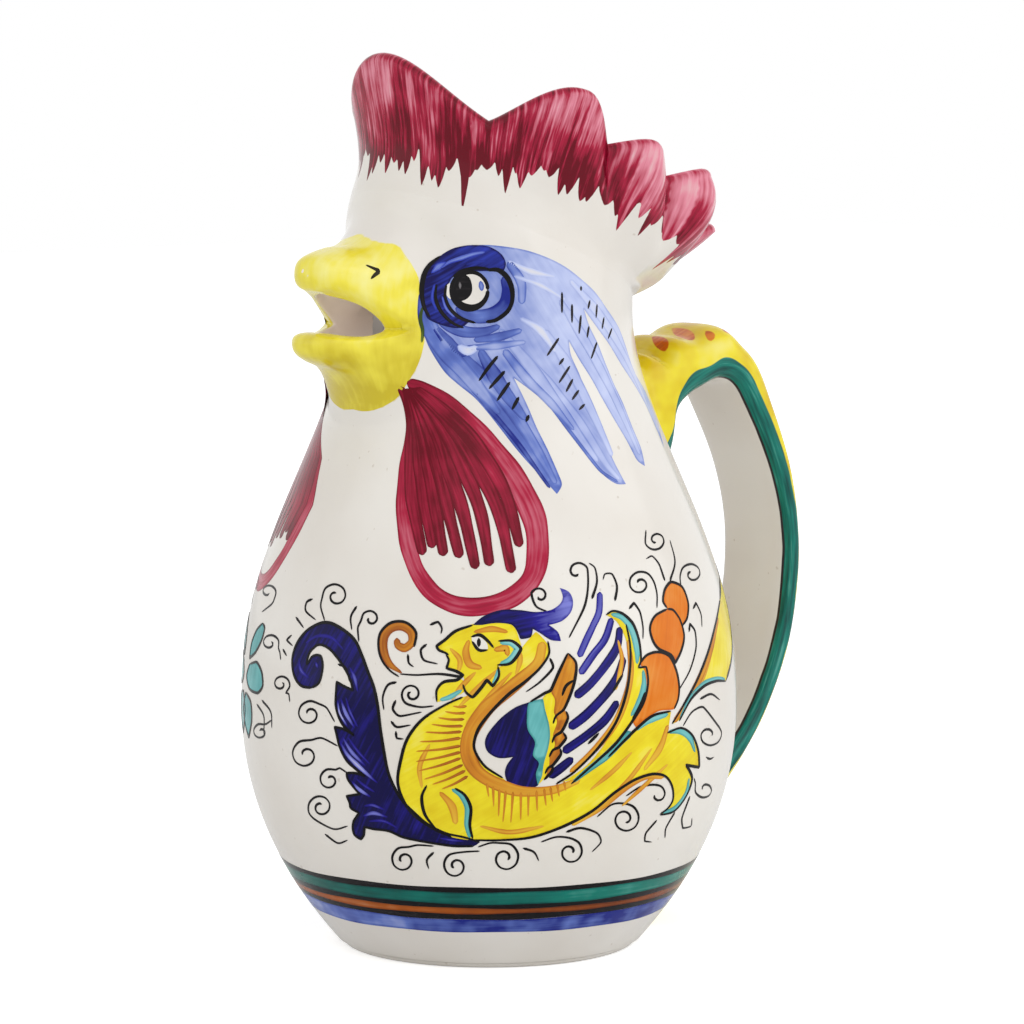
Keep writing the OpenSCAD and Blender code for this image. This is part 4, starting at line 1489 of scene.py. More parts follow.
# The winged dragon and scrolls, an old maiolica ornament
ACANTHUS = [
    (480, 842), (464, 837), (446, 833), (428, 824), (414, 812), (403, 801), (396, 790), (389, 774),
    (385, 756), (381, 731), (378, 706), (374, 687), (368, 671), (362, 655), (355, 640), (344, 630),
    (331, 623), (321, 623), (308, 630), (298, 642), (293, 656), (293, 669), (296, 679), (302, 686),
    (312, 688), (319, 683), (322, 674), (323, 664), (321, 656), (316, 655), (312, 657), (309, 662),
    (307, 664), (308, 658), (311, 651), (318, 645), (325, 646), (332, 651), (340, 661), (347, 672),
    (351, 681), (353, 690), (346, 687), (337, 682), (336, 696), (336, 706), (339, 717), (344, 726),
    (354, 735), (344, 729), (335, 727), (337, 735), (339, 744), (343, 754), (348, 762), (356, 769),
    (365, 776), (356, 773), (347, 773), (348, 779), (353, 786), (360, 794), (347, 796), (350, 803),
    (351, 808), (359, 813), (354, 821), (353, 828), (355, 835), (361, 839), (364, 835), (365, 827),
    (374, 829), (389, 831), (403, 837), (421, 841), (439, 844), (456, 846), (474, 846)
]
ACANTHUS_CURL = 24
ACANTHUS_LIGHTS = [
    ([(306, 643), (318, 636), (332, 638), (344, 650)], 4, 0.62),
    ([(299, 658), (301, 670), (309, 678)], 5, 0.5), ([(316, 662), (318, 668)], 4, 0.5),
    ([(350, 667), (355, 678), (358, 692)], 4, 0.4), ([(341, 698), (346, 713), (355, 728)], 4, 0.22),
    ([(346, 697), (350, 711), (358, 727)], 3, 0.45), ([(338, 700), (340, 713), (348, 727)], 2, 0.02),
    ([(340, 741), (348, 755), (362, 769), (378, 783)], 5, 0.14),
    ([(343, 737), (352, 752), (366, 766)], 4, 0.3), ([(348, 737), (358, 751), (370, 764)], 3, 0.5),
    ([(352, 781), (359, 789), (371, 797)], 4, 0.18), ([(356, 778), (364, 785), (375, 792)], 3, 0.45),
    ([(364, 806), (373, 805), (386, 810)], 3, 0.4), ([(363, 816), (374, 813), (388, 817)], 4, 0.3),
    ([(369, 821), (384, 821), (398, 828)], 3, 0.5), ([(440, 838), (452, 840), (464, 841)], 2.4, 0.5)
]
BREATH = [
    (402, 673), (390, 664), (384, 651), (384, 637), (391, 628), (402, 626), (411, 632), (412, 642),
    (405, 648), (398, 645), (397, 638)
]
BREATH_HALF = 4.6
BREATH_STEP = 5
BREATH_LEFT = 8
BODY = [
    (463, 697), (445, 705), (423, 719), (408, 738), (401, 760), (398, 782), (404, 801), (415, 816),
    (434, 829), (452, 837), (473, 840), (501, 839), (532, 836), (564, 825), (592, 810), (614, 792),
    (634, 779), (652, 773), (665, 775), (672, 785), (673, 799), (668, 808), (660, 814), (674, 810),
    (686, 795), (691, 778), (685, 765), (698, 766), (697, 750), (691, 736), (680, 729), (668, 732),
    (671, 712), (652, 717), (634, 731), (608, 757), (588, 771), (571, 782), (540, 787), (514, 787),
    (501, 776), (484, 764), (476, 753), (475, 743), (480, 727), (493, 710), (510, 693), (527, 680),
    (540, 667), (548, 654), (547, 643), (536, 632), (524, 645), (512, 662), (497, 668), (484, 680),
    (473, 694)
]
FACE = [
    (437, 646), (445, 640), (456, 631), (473, 624), (493, 623), (508, 623), (515, 628), (519, 638),
    (521, 648), (510, 663), (499, 666), (499, 674), (493, 686), (487, 680), (482, 687), (473, 697),
    (465, 690), (463, 676), (447, 668), (449, 660), (446, 654), (439, 650)
]
BEARD = [(463, 680), (452, 679), (441, 684), (436, 691), (437, 702), (449, 699), (464, 692)]
DRAGON_EYE = [(472, 637), (480, 637), (487, 643), (488, 649), (480, 649), (473, 644)]
CREST = [
    (473, 625), (484, 616), (501, 610), (519, 610), (536, 612), (551, 610), (560, 604), (563, 597),
    (560, 588), (569, 592), (573, 601), (571, 612), (562, 621), (549, 625), (558, 632), (561, 641),
    (551, 640), (540, 633), (533, 629), (531, 637), (521, 639), (518, 633), (512, 625), (497, 623),
    (482, 625)
]
NECK_SHADE = [
    (543, 642), (537, 664), (512, 687), (487, 708), (471, 732), (468, 752), (476, 770), (493, 782),
    (520, 791), (552, 790), (580, 780)
]
RIB_STARTS = [
    (467, 706), (465, 717), (463, 726), (461, 738), (461, 750), (461, 758), (464, 767), (468, 776)
]
RIB_ENDS = [(453, 706), (446, 711), (437, 719), (427, 730), (418, 746), (416, 760), (423, 778), (442, 789)]
RIB_COUNT = 12
RIB_SAG = 1.0
BELLY_RIB_STARTS = [(487, 783), (503, 790), (526, 792), (549, 787), (564, 781)]
BELLY_RIB_ENDS = [(489, 797), (503, 822), (523, 819), (551, 803), (566, 791)]
DRAGON_SHADES = [
    [(500, 668), (478, 688), (458, 708)], [(512, 672), (488, 698), (466, 724)],
    [(476, 672), (462, 686), (452, 700)], [(508, 640), (520, 656), (516, 676)],
    [(450, 648), (460, 660), (458, 674)], [(590, 790), (612, 772), (632, 752)],
    [(604, 804), (630, 778), (652, 748)], [(622, 806), (644, 786), (668, 764)],
    [(480, 826), (510, 832), (544, 826)], [(430, 744), (420, 766), (422, 788)],
    [(700, 688), (708, 664), (714, 640)], [(618, 640), (622, 660), (616, 690)]
]
OCHRE_PULLS = [
    ([(628, 640), (631, 668), (627, 694), (616, 722), (596, 748), (570, 772)], [4, 7, 8, 8, 6, 4], 0.5),
    ([(572, 825), (600, 808), (622, 790), (645, 777), (664, 777)], [4, 7, 8, 6, 4], [0.3, 0.5, 0.6, 0.4]),
    ([(668, 725), (660, 748), (644, 770)], [5, 8, 4], [0.5, 0.4, 0.2]),
    ([(674, 722), (686, 704), (699, 680), (710, 652), (718, 618)], [5, 8, 9, 8, 5], 0.62),
    ([(474, 632), (492, 629), (508, 632)], [3, 6, 3], 0.5),
    ([(469, 640), (466, 652), (470, 664), (482, 668)], [3, 7, 8, 4], [0.4, 0.55, 0.4]),
    ([(494, 650), (506, 648), (508, 656)], [4, 7, 4], 0.5),
    ([(440, 792), (452, 806), (456, 824)], [4, 8, 5], [0.5, 0.45, 0.3])
]
TURQUOISE_PULLS = [
    ([(500, 643), (511, 643), (518, 649), (511, 659), (500, 664)], [3, 6, 7, 6, 3], 0.62),
    ([(499, 668), (497, 677), (493, 684)], [3, 5, 3], 0.6),
    ([(440, 700), (450, 697), (462, 690)], [3, 5, 3], 0.6),
    ([(452, 789), (462, 796), (468, 808), (467, 825), (470, 838)], [3, 6, 6, 5, 3], 0.72),
    ([(631, 732), (621, 741), (606, 756), (588, 770), (573, 782)], [8, 8, 8, 6, 3], 0.8),
    ([(611, 614), (623, 618), (632, 630), (637, 648), (637, 664)], [3, 7, 8, 8, 3], 0.66),
    ([(643, 670), (644, 684), (640, 700), (631, 716)], [3, 7, 7, 3], 0.72),
    ([(636, 730), (650, 720), (668, 714)], [3, 7, 4], 0.62),
    ([(668, 732), (681, 731), (690, 738), (695, 752)], [3, 7, 7, 3], 0.7),
    ([(689, 778), (686, 793), (676, 807), (663, 813)], [3, 6, 6, 3], 0.72),
    ([(680, 718), (691, 697), (704, 684), (716, 679), (725, 679)], [3, 6, 6, 5, 3], 0.7)
]
WING_NAVY = [
    (530, 702), (516, 707), (501, 718), (489, 732), (485, 742), (488, 752), (499, 758), (513, 757),
    (507, 765), (505, 774), (509, 784), (518, 789), (532, 788), (539, 784), (537, 774), (540, 763),
    (534, 755), (536, 742), (529, 730), (528, 717)
]
WING_TURQUOISE = [
    (529, 703), (543, 699), (545, 709), (549, 724), (550, 736), (548, 749), (544, 763), (542, 776),
    (538, 785), (536, 774), (539, 763), (533, 755), (535, 742), (528, 730), (527, 717)
]
WING_YELLOW = [
    (543, 698), (552, 690), (556, 700), (555, 712), (558, 722), (554, 735), (556, 745), (551, 755),
    (550, 766), (545, 777), (538, 785), (543, 764), (547, 749), (549, 736), (548, 724), (544, 709)
]
WING_OCHRE = [
    (568, 653), (575, 663), (575, 678), (571, 693), (565, 709), (567, 716), (566, 723), (562, 731),
    (565, 737), (563, 742), (559, 746), (560, 752), (557, 759), (553, 764), (552, 770), (545, 778),
    (549, 766), (550, 755), (555, 745), (553, 735), (557, 722), (554, 712), (555, 700), (551, 690),
    (559, 673)
]
WING_SCALLOPS = [
    [(568, 653), (576, 663), (575, 679), (571, 693), (564, 709), (556, 716), (553, 724)],
    [(566, 711), (568, 718), (562, 731), (555, 736), (552, 743)],
    [(563, 732), (566, 738), (559, 747), (553, 750), (549, 757)],
    [(560, 748), (561, 754), (553, 765), (548, 768), (545, 774)], [(553, 765), (552, 771), (544, 780)],
    [(574, 680), (566, 686), (562, 696)], [(568, 653), (559, 672), (551, 690), (545, 693), (530, 702)]
]
# The upper quills lie thinner and show lighter: painted reflection of the light from the right
WING_STRIPES = [
    ([(600, 592), (599, 612), (593, 626), (586, 641), (579, 657)], 5.5, 0.5),
    ([(612, 618), (605, 639), (593, 655), (580, 674)], 6, 0.62),
    ([(620, 627), (617, 647), (605, 666), (590, 684), (575, 697)], 7, 0.8),
    ([(624, 657), (617, 678), (605, 695), (586, 715), (569, 728)], 7.5, 0.86),
    ([(618, 701), (605, 720), (586, 736), (563, 752)], 7, 0.9),
    ([(573, 758), (561, 768), (549, 777)], 7, 0.92)
]
LEADING_LEAF = [
    (606, 615), (613, 612), (622, 615), (632, 624), (638, 641), (640, 660), (638, 668), (645, 667),
    (647, 682), (643, 701), (632, 720), (616, 742), (597, 760), (576, 778), (562, 782), (586, 766),
    (606, 742), (620, 716), (627, 690), (629, 664), (626, 640), (617, 622)
]
BALLS = [
    [(667, 608), (663, 601), (665, 589), (671, 582), (682, 587), (688, 603), (687, 618), (682, 626),
     (672, 620)],
    [(667, 609), (655, 616), (650, 628), (653, 641), (659, 649), (671, 655), (675, 663), (681, 651),
     (684, 636), (680, 620), (673, 610)],
    [(640, 663), (647, 655), (658, 652), (669, 656), (676, 670), (679, 686), (678, 699), (674, 709),
     (659, 711), (647, 718), (636, 727), (633, 721), (640, 705), (646, 690), (645, 672)]
]
BALL_LINES = [BALLS[0][:8], BALLS[1] + BALLS[1][:1], BALLS[2][:8], [(645, 692), (640, 705), (632, 720)]]
RIGHT_LEAF = [
    (672, 724), (684, 704), (697, 680), (708, 652), (716, 622), (720, 598), (727, 618), (728, 650),
    (726, 680), (716, 680), (704, 685), (691, 698), (679, 720)
]
# The end of the leaf, in degrees from the beak and millimetres up, because it goes round the side
LEAF_END = [
    (126.2, 95.2), (132, 98.6), (137, 100), (142, 103), (140, 96), (136, 89), (130, 81), (120.8, 74.4),
    (124.4, 81.9), (129.4, 89.7)
]
LEAF_TIP = 3
LEAF_HEEL = 7
PALMETTE = [[(263, 623), (257, 630), (252, 643), (250, 658), (256, 652), (262, 640), (265, 628)],
            [(250, 664), (257, 662), (262, 672), (263, 686), (258, 693), (250, 689), (247, 676)],
            [(246, 692), (251, 702), (252, 720), (249, 737), (246, 726), (244, 708)]]
DARK_LINES = [
    [(473, 625), (456, 631), (445, 640), (437, 646), (439, 650), (446, 653), (449, 655)],
    [(446, 654), (449, 660), (447, 668), (456, 671), (463, 675), (457, 680), (444, 682), (437, 690),
     (437, 702)],
    [(463, 684), (466, 692), (473, 697), (482, 687), (487, 680), (493, 686), (499, 676), (498, 666)],
    [(497, 665), (511, 663), (521, 649), (512, 641), (498, 641)],
    [(471, 637), (480, 635), (488, 641), (494, 648)], [(472, 641), (479, 650), (488, 650)],
    [(463, 697), (445, 705), (423, 719), (408, 738), (401, 760), (398, 782), (404, 801), (415, 816),
     (434, 829), (452, 837)],
    [(548, 641), (549, 654), (540, 668), (526, 681), (509, 694), (492, 711), (479, 728), (474, 744),
     (477, 755), (486, 767), (503, 778)],
    [(473, 840), (501, 840), (532, 837), (564, 826), (592, 811), (614, 793), (634, 780), (652, 774),
     (665, 776), (672, 786), (673, 799), (668, 808), (660, 814)],
    [(660, 815), (674, 811), (686, 796), (692, 778), (686, 765), (699, 767), (698, 750), (692, 735),
     (681, 728), (667, 733)],
    [(427, 785), (422, 797), (425, 814), (436, 829)],
    [(455, 788), (465, 795), (471, 808), (470, 825), (473, 839)],
    [(608, 757), (634, 731), (652, 716), (671, 711)],
    [(606, 615), (613, 611), (623, 614), (633, 624), (639, 641), (641, 660), (638, 668)],
    [(638, 668), (646, 667), (648, 682), (644, 701), (633, 720), (616, 743), (597, 761), (571, 784)],
    [(626, 624), (630, 645), (630, 668), (626, 694), (616, 722), (598, 748), (574, 772), (556, 784)],
    [(672, 724), (684, 704), (697, 680), (708, 652), (716, 622), (720, 600)],
    [(679, 721), (691, 699), (704, 686), (716, 681), (726, 681)], [(623, 674), (613, 691)],
    [(599, 733), (588, 744)]
]
DARK_LINES += WING_SCALLOPS
# Each tendril has the middle, radius, first angle and turns of its spiral, and its stem
TENDRILS = [
    (336, 596, 14, 190, -1.3, [(325, 621), (321, 607)]),
    (371, 619, 10, 190, -1.1, [(359, 642), (358, 628)]),
    (281, 684, 10, -60, 1.3, [(290, 702), (289, 694)]),
    (310, 714, 14, 45, 1.35, [(335, 722), (327, 708)]),
    (306, 755, 16, 70, 1.3, [(338, 746), (322, 738)]),
    (330, 780, 12, 60, 1.2, [(349, 774), (340, 768)]),
    (321, 807, 14, 250, -1.5, [(348, 826), (334, 829)]),
    (404, 860, 14, 70, 1.4, [(434, 846), (418, 845)]),
    (456, 866, 13, 120, 1.3, [(480, 851), (463, 852)]),
    (505, 858, 16, 110, -1.4, [(478, 847), (490, 843)]),
    (270, 643, 10, -30, 1.2, [(281, 660), (280, 652)]), (261, 732, 9, 60, 1.2, [(272, 720)]),
    (412, 694, 11, 240, -1.35, [(434, 706), (420, 707)]),
    (640, 584, 14, 10, 1.4, [(657, 608), (657, 594)]),
    (577, 572, 11, 20, 0.8, [(569, 638), (584, 608), (588, 588)]),
    (692, 574, 12, 190, -1.2, [(681, 587)]),
    (709, 735, 14, 60, -1.2, [(683, 726), (692, 712), (703, 707)]),
    (625, 819, 16, 100, -1.5, [(597, 817), (611, 805)]),
    (570, 852, 14, 90, -1.3, [(541, 842), (556, 837)]), (656, 540, 11, 200, 1.2, [(646, 530)]),
    (705, 789, 11, 150, 1.1, [(694, 778)]), (657, 795, 11, 110, -0.8, [(626, 796), (640, 787)]),
    (268, 592, 9, -40, 1.0, [(262, 612), (272, 604)]),
    (540, 596, 9, 160, -0.9, [(548, 612), (536, 606)])
]
HOOKS = [
    [(357, 606), (351, 617), (352, 630)], [(313, 599), (307, 602), (306, 611), (316, 620)],
    [(296, 617), (304, 628)], [(292, 635), (287, 640), (293, 646)], [(283, 649), (287, 656)],
    [(325, 834), (338, 843), (348, 840)], [(523, 848), (534, 852), (539, 861)],
    [(434, 852), (427, 860), (429, 869)], [(430, 625), (438, 622), (442, 628), (441, 634)],
    [(427, 644), (421, 650), (424, 660), (438, 664)], [(408, 654), (409, 663), (414, 667)],
    [(462, 677), (440, 674), (417, 675), (400, 674)], [(396, 700), (393, 709), (400, 716), (422, 712)],
    [(391, 721), (397, 727), (411, 725)], [(396, 731), (397, 738), (404, 739)],
    [(397, 682), (388, 685), (383, 697), (384, 710)], [(592, 599), (597, 582), (595, 568), (589, 563)],
    [(615, 601), (617, 586), (612, 574), (605, 574), (603, 580)],
    [(629, 609), (634, 603), (640, 612), (643, 627), (643, 639)], [(670, 581), (675, 562), (670, 540)],
    [(665, 581), (659, 564), (652, 556), (646, 559)], [(693, 609), (696, 603), (701, 614), (702, 627)],
    [(689, 632), (690, 624), (695, 631), (696, 648), (690, 670), (679, 690)],
    [(700, 699), (711, 694), (720, 700)], [(706, 757), (710, 759), (714, 757)],
    [(566, 832), (581, 828), (597, 833), (601, 842), (592, 852)],
    [(657, 820), (646, 833), (645, 841), (652, 842)], [(675, 812), (666, 828), (665, 838)],
    [(690, 796), (682, 818), (683, 828), (691, 826), (692, 818)],
    [(550, 658), (553, 668), (540, 682), (526, 692)], [(338, 664), (346, 668), (350, 682)],
    [(262, 700), (271, 712), (272, 728)], [(257, 704), (264, 716), (264, 734)]
]
# Pigment, upper edge and lower edge of each band, in pixels down the column BASE_X
BASE_BANDS = (
    ("black", 888.4, 892.8), ("teal", 892.6, 904.8), ("black", 904.6, 908.8), ("brown", 908.6, 914.6),
    ("black", 914.4, 919.4), ("blue", 919.6, 932.8)
)
BASE_X = 478
# Angles of the planes that paint is mirrored in. The wattle's goes by height.
BELLY_MIRROR = -28.0
WATTLE_MIRROR = ((110, 122, 134, 147), (7.5, 7.2, 3.5, -6.5))
BEAK_HOLE = (14.0, 20.0)


def between(first, last):
    """Short lines that sag a little, from one guide line to another."""
    t = np.linspace(0, 1, RIB_COUNT)
    lines = []
    for guide in (first, last):
        path = drawn(guide)
        way = np.linspace(0, 1, len(path))
        lines.append(np.stack([np.interp(t, way, path[:, k]) for k in (0, 1)], -1))
    return [[tuple(a), tuple((a + b) / 2 + [0, RIB_SAG]), tuple(b)] for a, b in zip(*lines)]


def round_line(x, y, wide, tall, count=14):
    """Points round an oval with these half sizes."""
    turn = np.linspace(0, 2 * np.pi, count, endpoint=False)
    return [(x + wide * math.cos(a), y + tall * math.sin(a)) for a in turn]


def paint_face(paints):
    yellow = Coat("beak_yellow")
    turn = np.linspace(0, 2 * np.pi, 60, endpoint=False)
    mouth = np.stack([BEAK_HOLE[0] / HEAD_R * np.cos(turn), MOUTH_Z + BEAK_HOLE[1] * np.sin(turn)], -1)
    yellow.fill([yellow_ring(), mouth], 0, 80, yellow_load)
    yellow.finish(paints["lemon"], "yellow_glaze")
    blue = Coat("feathers_blue")
    blue.patch(FEATHERS, 0, -55, (0.6, 0.25), [(470, 390), (612, 310)])
    for line, width, load in FEATHER_PULLS:
        widths = [0.5 * width, width, width, 0.85 * width, 0.5 * width]
        blue.stroke(line, widths, 1, [load, load, load, 0.8 * load])
    blue.pulls(FEATHER_WASHES, 1.6)
    blue.stroke(EYE_WASH, [6, 12, 14, 14, 12, 6], 3.2, [0.7, 0.92, 0.86, 0.76, 0.8])
    blue.finish(paints["blue"], "white_glaze", 0)
    brow = Coat("brow_navy")
    brow.patch(BROW, 3, 30, (0.74, 0.96), [(500, 250), (440, 290)])
    for line, width, load in BROW_LIGHTS:
        brow.stroke(line, [2, width, 2], 3.6, load)
    brow.finish(paints["cobalt"], "white_glaze", 0)
    white = Coat("eye_white")
    white.patch(round_line(EYE_X, EYE_Y, *IRIS), 3.8, 0, 0.25)
    white.stroke([(450, 283), (448, 291), (451, 299)], [2, 5, 2], 3.8)
    white.finish(paints["white"], "white_glaze", 0)
    dark = Coat("eye_black")
    dark.stroke(BROW_EDGE, [2, 4, 5, 5, 4, 2], 4.5, 0.92)
    dark.stroke(EYE_RING, [3, 5, 5, 4, 4, 3], 4.5)
    dark.strokes(EYE_LINES, [2, 3.5, 3.5, 2], 4.5, 0.85)
    ring = round_line(EYE_X, EYE_Y, *IRIS, 20)
    dark.stroke(ring + ring[:1], [3.5, 5, 7.5, 7, 6, 4.5, 3.5, 3.5], 4.8, [0.8, 1, 1, 1, 1, 0.9, 0.8])
    dark.patch(PUPIL, 4.6, 0, 1.0)
    dark.strokes(FEATHER_DASHES[:DARK_DASHES], [3, 3.6, 2], 3, [0.9, 0.8])
    dark.strokes(FEATHER_DASHES[DARK_DASHES:], [2.2, 2.8, 1.8], 3, [0.66, 0.5])
    dark.finish(paints["black"], "white_glaze", 0)
    sheen = Coat("eye_sheen")
    sheen.stroke([(460, 282), (460.5, 289)], [1.5, 3, 1.5], 5.4, 0.3)
    sheen.finish(paints["black"], "white_glaze", 0)
    edge = Coat("feather_edge_green")
    edge.stroke(GREEN_EDGE, [2, 4, 3.5, 2], 3.4, [0.9, 0.95, 0.7])
    edge.finish(paints["green"], "white_glaze", 0)
    glint = Coat("eye_glint")
    glint.stroke([(480.5, 281), (481.5, 286), (482, 291)], [3, 5.5, 3], 5, 0.55)
    glint.finish(paints["blue_touch"], "white_glaze", 0)
    red = Coat("wattle_crimson")
    red.stroke(WATTLE_RING, [8, 8, 10, 14, 16, 16, 17, 18, 19, 21, 24, 25, 22, 18, 14, 10], 0,
               [0.9, 0.75, 0.66, 0.6, 0.64, 0.66, 0.6, 0.56, 0.62, 0.7, 0.9])
    for k, line in enumerate(WATTLE_FINGERS):
        red.stroke(line, [8, 15, 15, 12.5, 9.5], 1 + 0.35 * k, [0.95, 0.92, 0.86, 0.84, 0.92])
    red.finish(paints["crimson"], "crimson_glaze", WATTLE_MIRROR)


def paint_dragon(paints):
    navy = Coat("scroll_navy")
    navy.patch(ACANTHUS, 1, 60, 0.98)
    # The crest fades lighter towards its right end, and the upper quills lie lighter: painted reflection of
    # the light from the right
    navy.patch(CREST, 3, 10, (0.95, 0.36), [(515, 620), (563, 605)])
    navy.patch(WING_NAVY, 3, 70, 0.95)
    for line, width, load in WING_STRIPES:
        navy.stroke(line, [1.1 * width, 1.3 * width, 1.3 * width, 1.2 * width], 2, load)
    for line, width, load in ACANTHUS_LIGHTS:
        navy.stroke(line, [1.5, width, 1.5], 2.5, [0.6, load, load, 0.6])
    navy.finish(paints["navy"], "white_glaze", BELLY_MIRROR)
    yellow = Coat("dragon_yellow")
    yellow.patch(BODY, 1, 30, 0.72)
    yellow.patch(FACE, 2, 20, 0.72)
    yellow.patch(BEARD, 2, 20, 0.66)
    yellow.patch(LEADING_LEAF, 2, 60, 0.72)
    yellow.patch(WING_YELLOW, 3.5, 80, 0.66)
    yellow.patch(RIGHT_LEAF, 1, 60, 0.7)
    yellow.fill([drawn(LEAF_END, True) * [math.pi / 180, 1]], 1, 60, 0.7)
    yellow.finish(paints["yellow"], "yellow_glaze", BELLY_MIRROR)
    ochre = Coat("dragon_ochre")
    ochre.stroke(NECK_SHADE, [8, 12, 14, 15, 14, 12, 9, 6], 3, [0.4, 0.62, 0.6, 0.66, 0.62, 0.5, 0.3])
    ochre.strokes(between(RIB_STARTS, RIB_ENDS), [3, 2.2, 1.2], 3, [0.75, 0.65, 0.5])
    ochre.strokes(between(BELLY_RIB_STARTS, BELLY_RIB_ENDS), [2.8, 2, 1.2], 3, [0.6, 0.5, 0.35])
    ochre.pulls(OCHRE_PULLS, 3)
    ochre.strokes(DRAGON_SHADES, [2, 5, 5, 2], 2.6, [0.25, 0.5, 0.4, 0.2])
    ochre.stroke(BREATH, [2, 6, 9, 10, 9, 9, 8, 8, 6], 2, 0.8)
    ochre.patch(WING_OCHRE, 4, 70, 0.66)
    ochre.finish(paints["ochre"], "yellow_glaze", BELLY_MIRROR)
    orange = Coat("fruit_orange")
    for k, ball in enumerate(BALLS):
        orange.patch(ball, 2 + 0.4 * k, 70, 0.62)
    orange.finish(paints["orange"], "yellow_glaze", BELLY_MIRROR)
    green = Coat("scroll_turquoise")
    green.patch(WING_TURQUOISE, 3.8, 70, 0.72)
    for leaf in PALMETTE:
        green.patch(leaf, 1, 80, 0.8)
    green.pulls(TURQUOISE_PULLS, 3)
    green.finish(paints["turquoise"], "white_glaze", BELLY_MIRROR)
    white = Coat("dragon_eye_white")
    white.patch(DRAGON_EYE, 4, 0, 0.2)
    white.finish(paints["white"], "white_glaze", BELLY_MIRROR)
    dark = Coat("dragon_lines")
    dark.strokes(DARK_LINES, [1.8, 3.2, 3.0, 1.8], 5, 0.95)
    dark.strokes(BALL_LINES, [2.2, 3, 2.2], 5, 0.9)
    for loop in PALMETTE:
        dark.stroke(loop + loop[:1], [2.2, 2.8, 2.2], 5, 0.9)
    breath = drawn(BREATH)
    edge = breath + unit(np.gradient(breath, axis=0)[:, ::-1] * [1, -1]) * BREATH_HALF
    dark.stroke(edge[:-BREATH_LEFT:BREATH_STEP], [1.6, 2.8, 2.4], 5, 0.9)
    dark.stroke(ACANTHUS[:ACANTHUS_CURL + 1], [2, 3, 3, 2.6], 5, 1.0)
    dark.stroke(ACANTHUS[ACANTHUS_CURL:], 2.4, 5, 1.0)
    dark.stroke([(479, 638), (479, 647)], [3, 4, 3], 5.5, 1.0)
    for x, y, radius, start, turns, stem in TENDRILS:
        dark.stroke(curl(x, y, radius, start, turns, stem), [1.6, 2.4, 2.0, 2.6], 2, [0.6, 0.95, 0.8, 1.0])
    dark.strokes(HOOKS, [2.8, 2.2, 1.4], 2, [0.95, 0.8, 0.5])
    dark.stroke(LEAF_END[:LEAF_TIP + 1], [4, 4, 3], 3, hit=by_angle)
    dark.stroke(LEAF_END[LEAF_TIP:LEAF_HEEL + 1], [3, 4, 4], 3, hit=by_angle)
    dark.finish(paints["black"], "white_glaze", BELLY_MIRROR)


def paint_base(paints):
    edges = [(BASE_X, y) for _, low, high in BASE_BANDS for y in (low, high)]
    heights = on_form(edges)[:, 1].reshape(-1, 2)
    coats = {}
    for (name, _, _), (top, bottom) in zip(BASE_BANDS, heights):
        coat = coats.setdefault(name, Coat("band_" + name))
        layer, load = (1, 1.0) if name == "black" else (0, 0.76)
        coat.band(bottom, top, layer, load)
    for name, coat in coats.items():
        coat.finish(paints[name], "white_glaze")


def paint_details(paints, beak):
    nostril = Coat("nostril", mesh_ground(beak))
    nostril.stroke(NOSTRIL[:NOSTRIL_TIP + 1], [1.8, 3, 4.5], 1, [0.8, 1.0])
    nostril.stroke(NOSTRIL[NOSTRIL_TIP:], [4.5, 3.5, 2], 1.4, [1.0, 0.8])
    nostril.finish(paints["olive"], "yellow_glaze", 0)


# The pieces with their glazes, then the painting on them
make_camera()
white = white_glaze()
beak = make_beak()
handle = make_handle()
for piece, nodes, slot, material in (
        (make_vessel(), ("body",), "white_glaze", white),
        (make_foot(), ("foot_ring",), "white_glaze", white),
        (make_comb(), ("comb",), "crimson_glaze", comb_glaze()),
        (beak, ("upper_beak", "lower_beak"), "yellow_glaze", beak_glaze()),
        (handle, ("handle",), "handle_glaze", handle_glaze())):
    piece.data.materials.append(material)
    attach(piece, "root")
    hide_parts(*nodes)
paints = {name: pigment(name) for name in ("crimson", "navy", "black", "green", "cobalt")}
paints["lemon"] = lemon_glaze()
paints["yellow"] = pigment("yellow", streak=0.35, blotch=0.7, pool=0.12)
paints["blue"] = pigment("blue", streak=0.35, blotch=1.3, pool=0.16)
for name in ("teal", "brown", "orange", "turquoise"):
    paints[name] = pigment(name, streak=0.35, blotch=0.5)
paints["ochre"] = pigment("ochre", shades("yellow")[1])
paints["blue_touch"] = pigment("blue", shades("navy")[1])
paints["olive"] = pigment("olive", shades("yellow")[1])
paints["white"] = white
paint_face(paints)
paint_dragon(paints)
paint_base(paints)
paint_details(paints, beak)


# Floor, light and background
WHITE = (1, 1, 1, 1)
FLOOR_HALF = 3.0
FLOOR_GREY = (0.9, 0.9, 0.9, 1)
FLOOR_ROUGHNESS = 0.9
FLOOR_GLOW = 0.5
AMBIENT = 0.74
LIGHT_AIM = Vector((0, 0, 0.12))
LIGHTS = (("key", (1.0, -1.7, 0.8), (2.6, 2.4), 16),
          ("front", (-1.05, -1.25, 0.75), (2.2, 2.0), 3),
          ("fill", (-1.7, 0.5, 0.5), (1.8, 1.6), 3),
          ("top", (-0.75, -0.9, 1.75), (1.8, 1.8), 3))


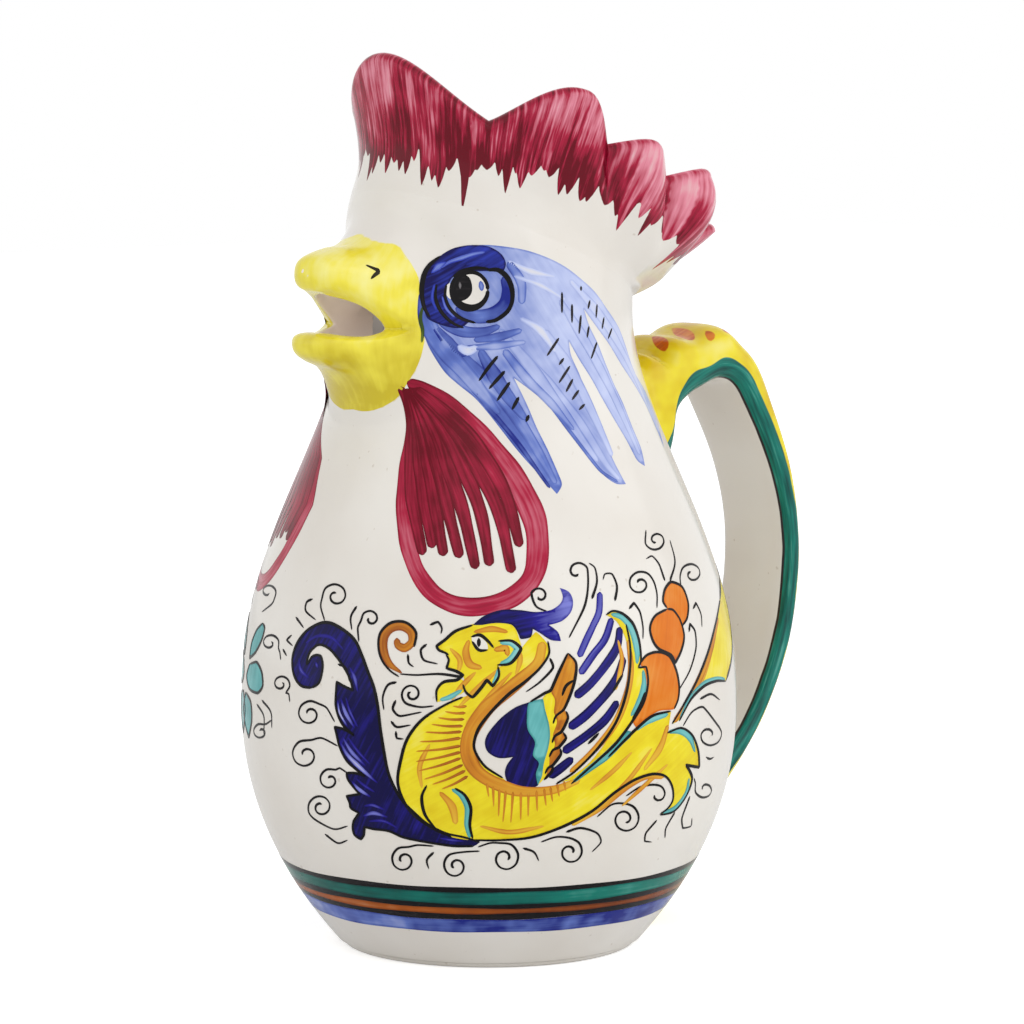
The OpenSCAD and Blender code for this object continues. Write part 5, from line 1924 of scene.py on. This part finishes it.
def make_stage():
    """A white floor that glows a little, only where the camera looks at it."""
    floor_mesh = bpy.data.meshes.new("floor")
    corners = [(x * FLOOR_HALF, y * FLOOR_HALF, 0) for x, y in ((-1, -1), (1, -1), (1, 1), (-1, 1))]
    floor_mesh.from_pydata(corners, [], [(0, 1, 2, 3)])
    floor = bpy.data.objects.new("floor", floor_mesh)
    bpy.context.scene.collection.objects.link(floor)
    material = bpy.data.materials.new("floor_white")
    material.use_nodes = True
    nodes, links = material.node_tree.nodes, material.node_tree.links
    shader = nodes["Principled BSDF"]
    shader.inputs["Base Color"].default_value = FLOOR_GREY
    shader.inputs["Roughness"].default_value = FLOOR_ROUGHNESS
    shader.inputs["Emission Color"].default_value = WHITE
    path = nodes.new("ShaderNodeLightPath")
    scale = nodes.new("ShaderNodeMath")
    scale.operation = "MULTIPLY"
    scale.inputs[1].default_value = FLOOR_GLOW
    links.new(path.outputs["Is Camera Ray"], scale.inputs[0])
    links.new(scale.outputs[0], shader.inputs["Emission Strength"])
    floor_mesh.materials.append(material)


def area_light(name, place, size, watts):
    data = bpy.data.lights.new(name, "AREA")
    data.shape = "RECTANGLE"
    data.size, data.size_y = size
    data.energy = watts
    lamp = bpy.data.objects.new(name, data)
    lamp.location = place
    aim = LIGHT_AIM - Vector(place)
    lamp.rotation_euler = aim.to_track_quat("-Z", "Y").to_euler()
    bpy.context.scene.collection.objects.link(lamp)


def make_light():
    """Soft light from all round, a backdrop of full white where it is seen or reflected, and four lamps."""
    world = bpy.data.worlds.new("studio")
    bpy.context.scene.world = world
    world.use_nodes = True
    nodes, links = world.node_tree.nodes, world.node_tree.links
    nodes.clear()
    path = nodes.new("ShaderNodeLightPath")
    seen = nodes.new("ShaderNodeMath")
    seen.operation = "MAXIMUM"
    also = nodes.new("ShaderNodeMath")
    also.operation = "MAXIMUM"
    links.new(path.outputs["Is Camera Ray"], seen.inputs[0])
    links.new(path.outputs["Is Glossy Ray"], seen.inputs[1])
    links.new(seen.outputs[0], also.inputs[0])
    links.new(path.outputs["Is Transmission Ray"], also.inputs[1])
    ambient = nodes.new("ShaderNodeBackground")
    ambient.inputs["Strength"].default_value = AMBIENT
    backdrop = nodes.new("ShaderNodeBackground")
    for node in (ambient, backdrop):
        node.inputs["Color"].default_value = WHITE
    mix = nodes.new("ShaderNodeMixShader")
    output = nodes.new("ShaderNodeOutputWorld")
    links.new(also.outputs[0], mix.inputs[0])
    links.new(ambient.outputs[0], mix.inputs[1])
    links.new(backdrop.outputs[0], mix.inputs[2])
    links.new(mix.outputs[0], output.inputs["Surface"])
    for lamp in LIGHTS:
        area_light(*lamp)


make_stage()
make_light()
bpy.context.scene.view_settings.view_transform = "Standard"
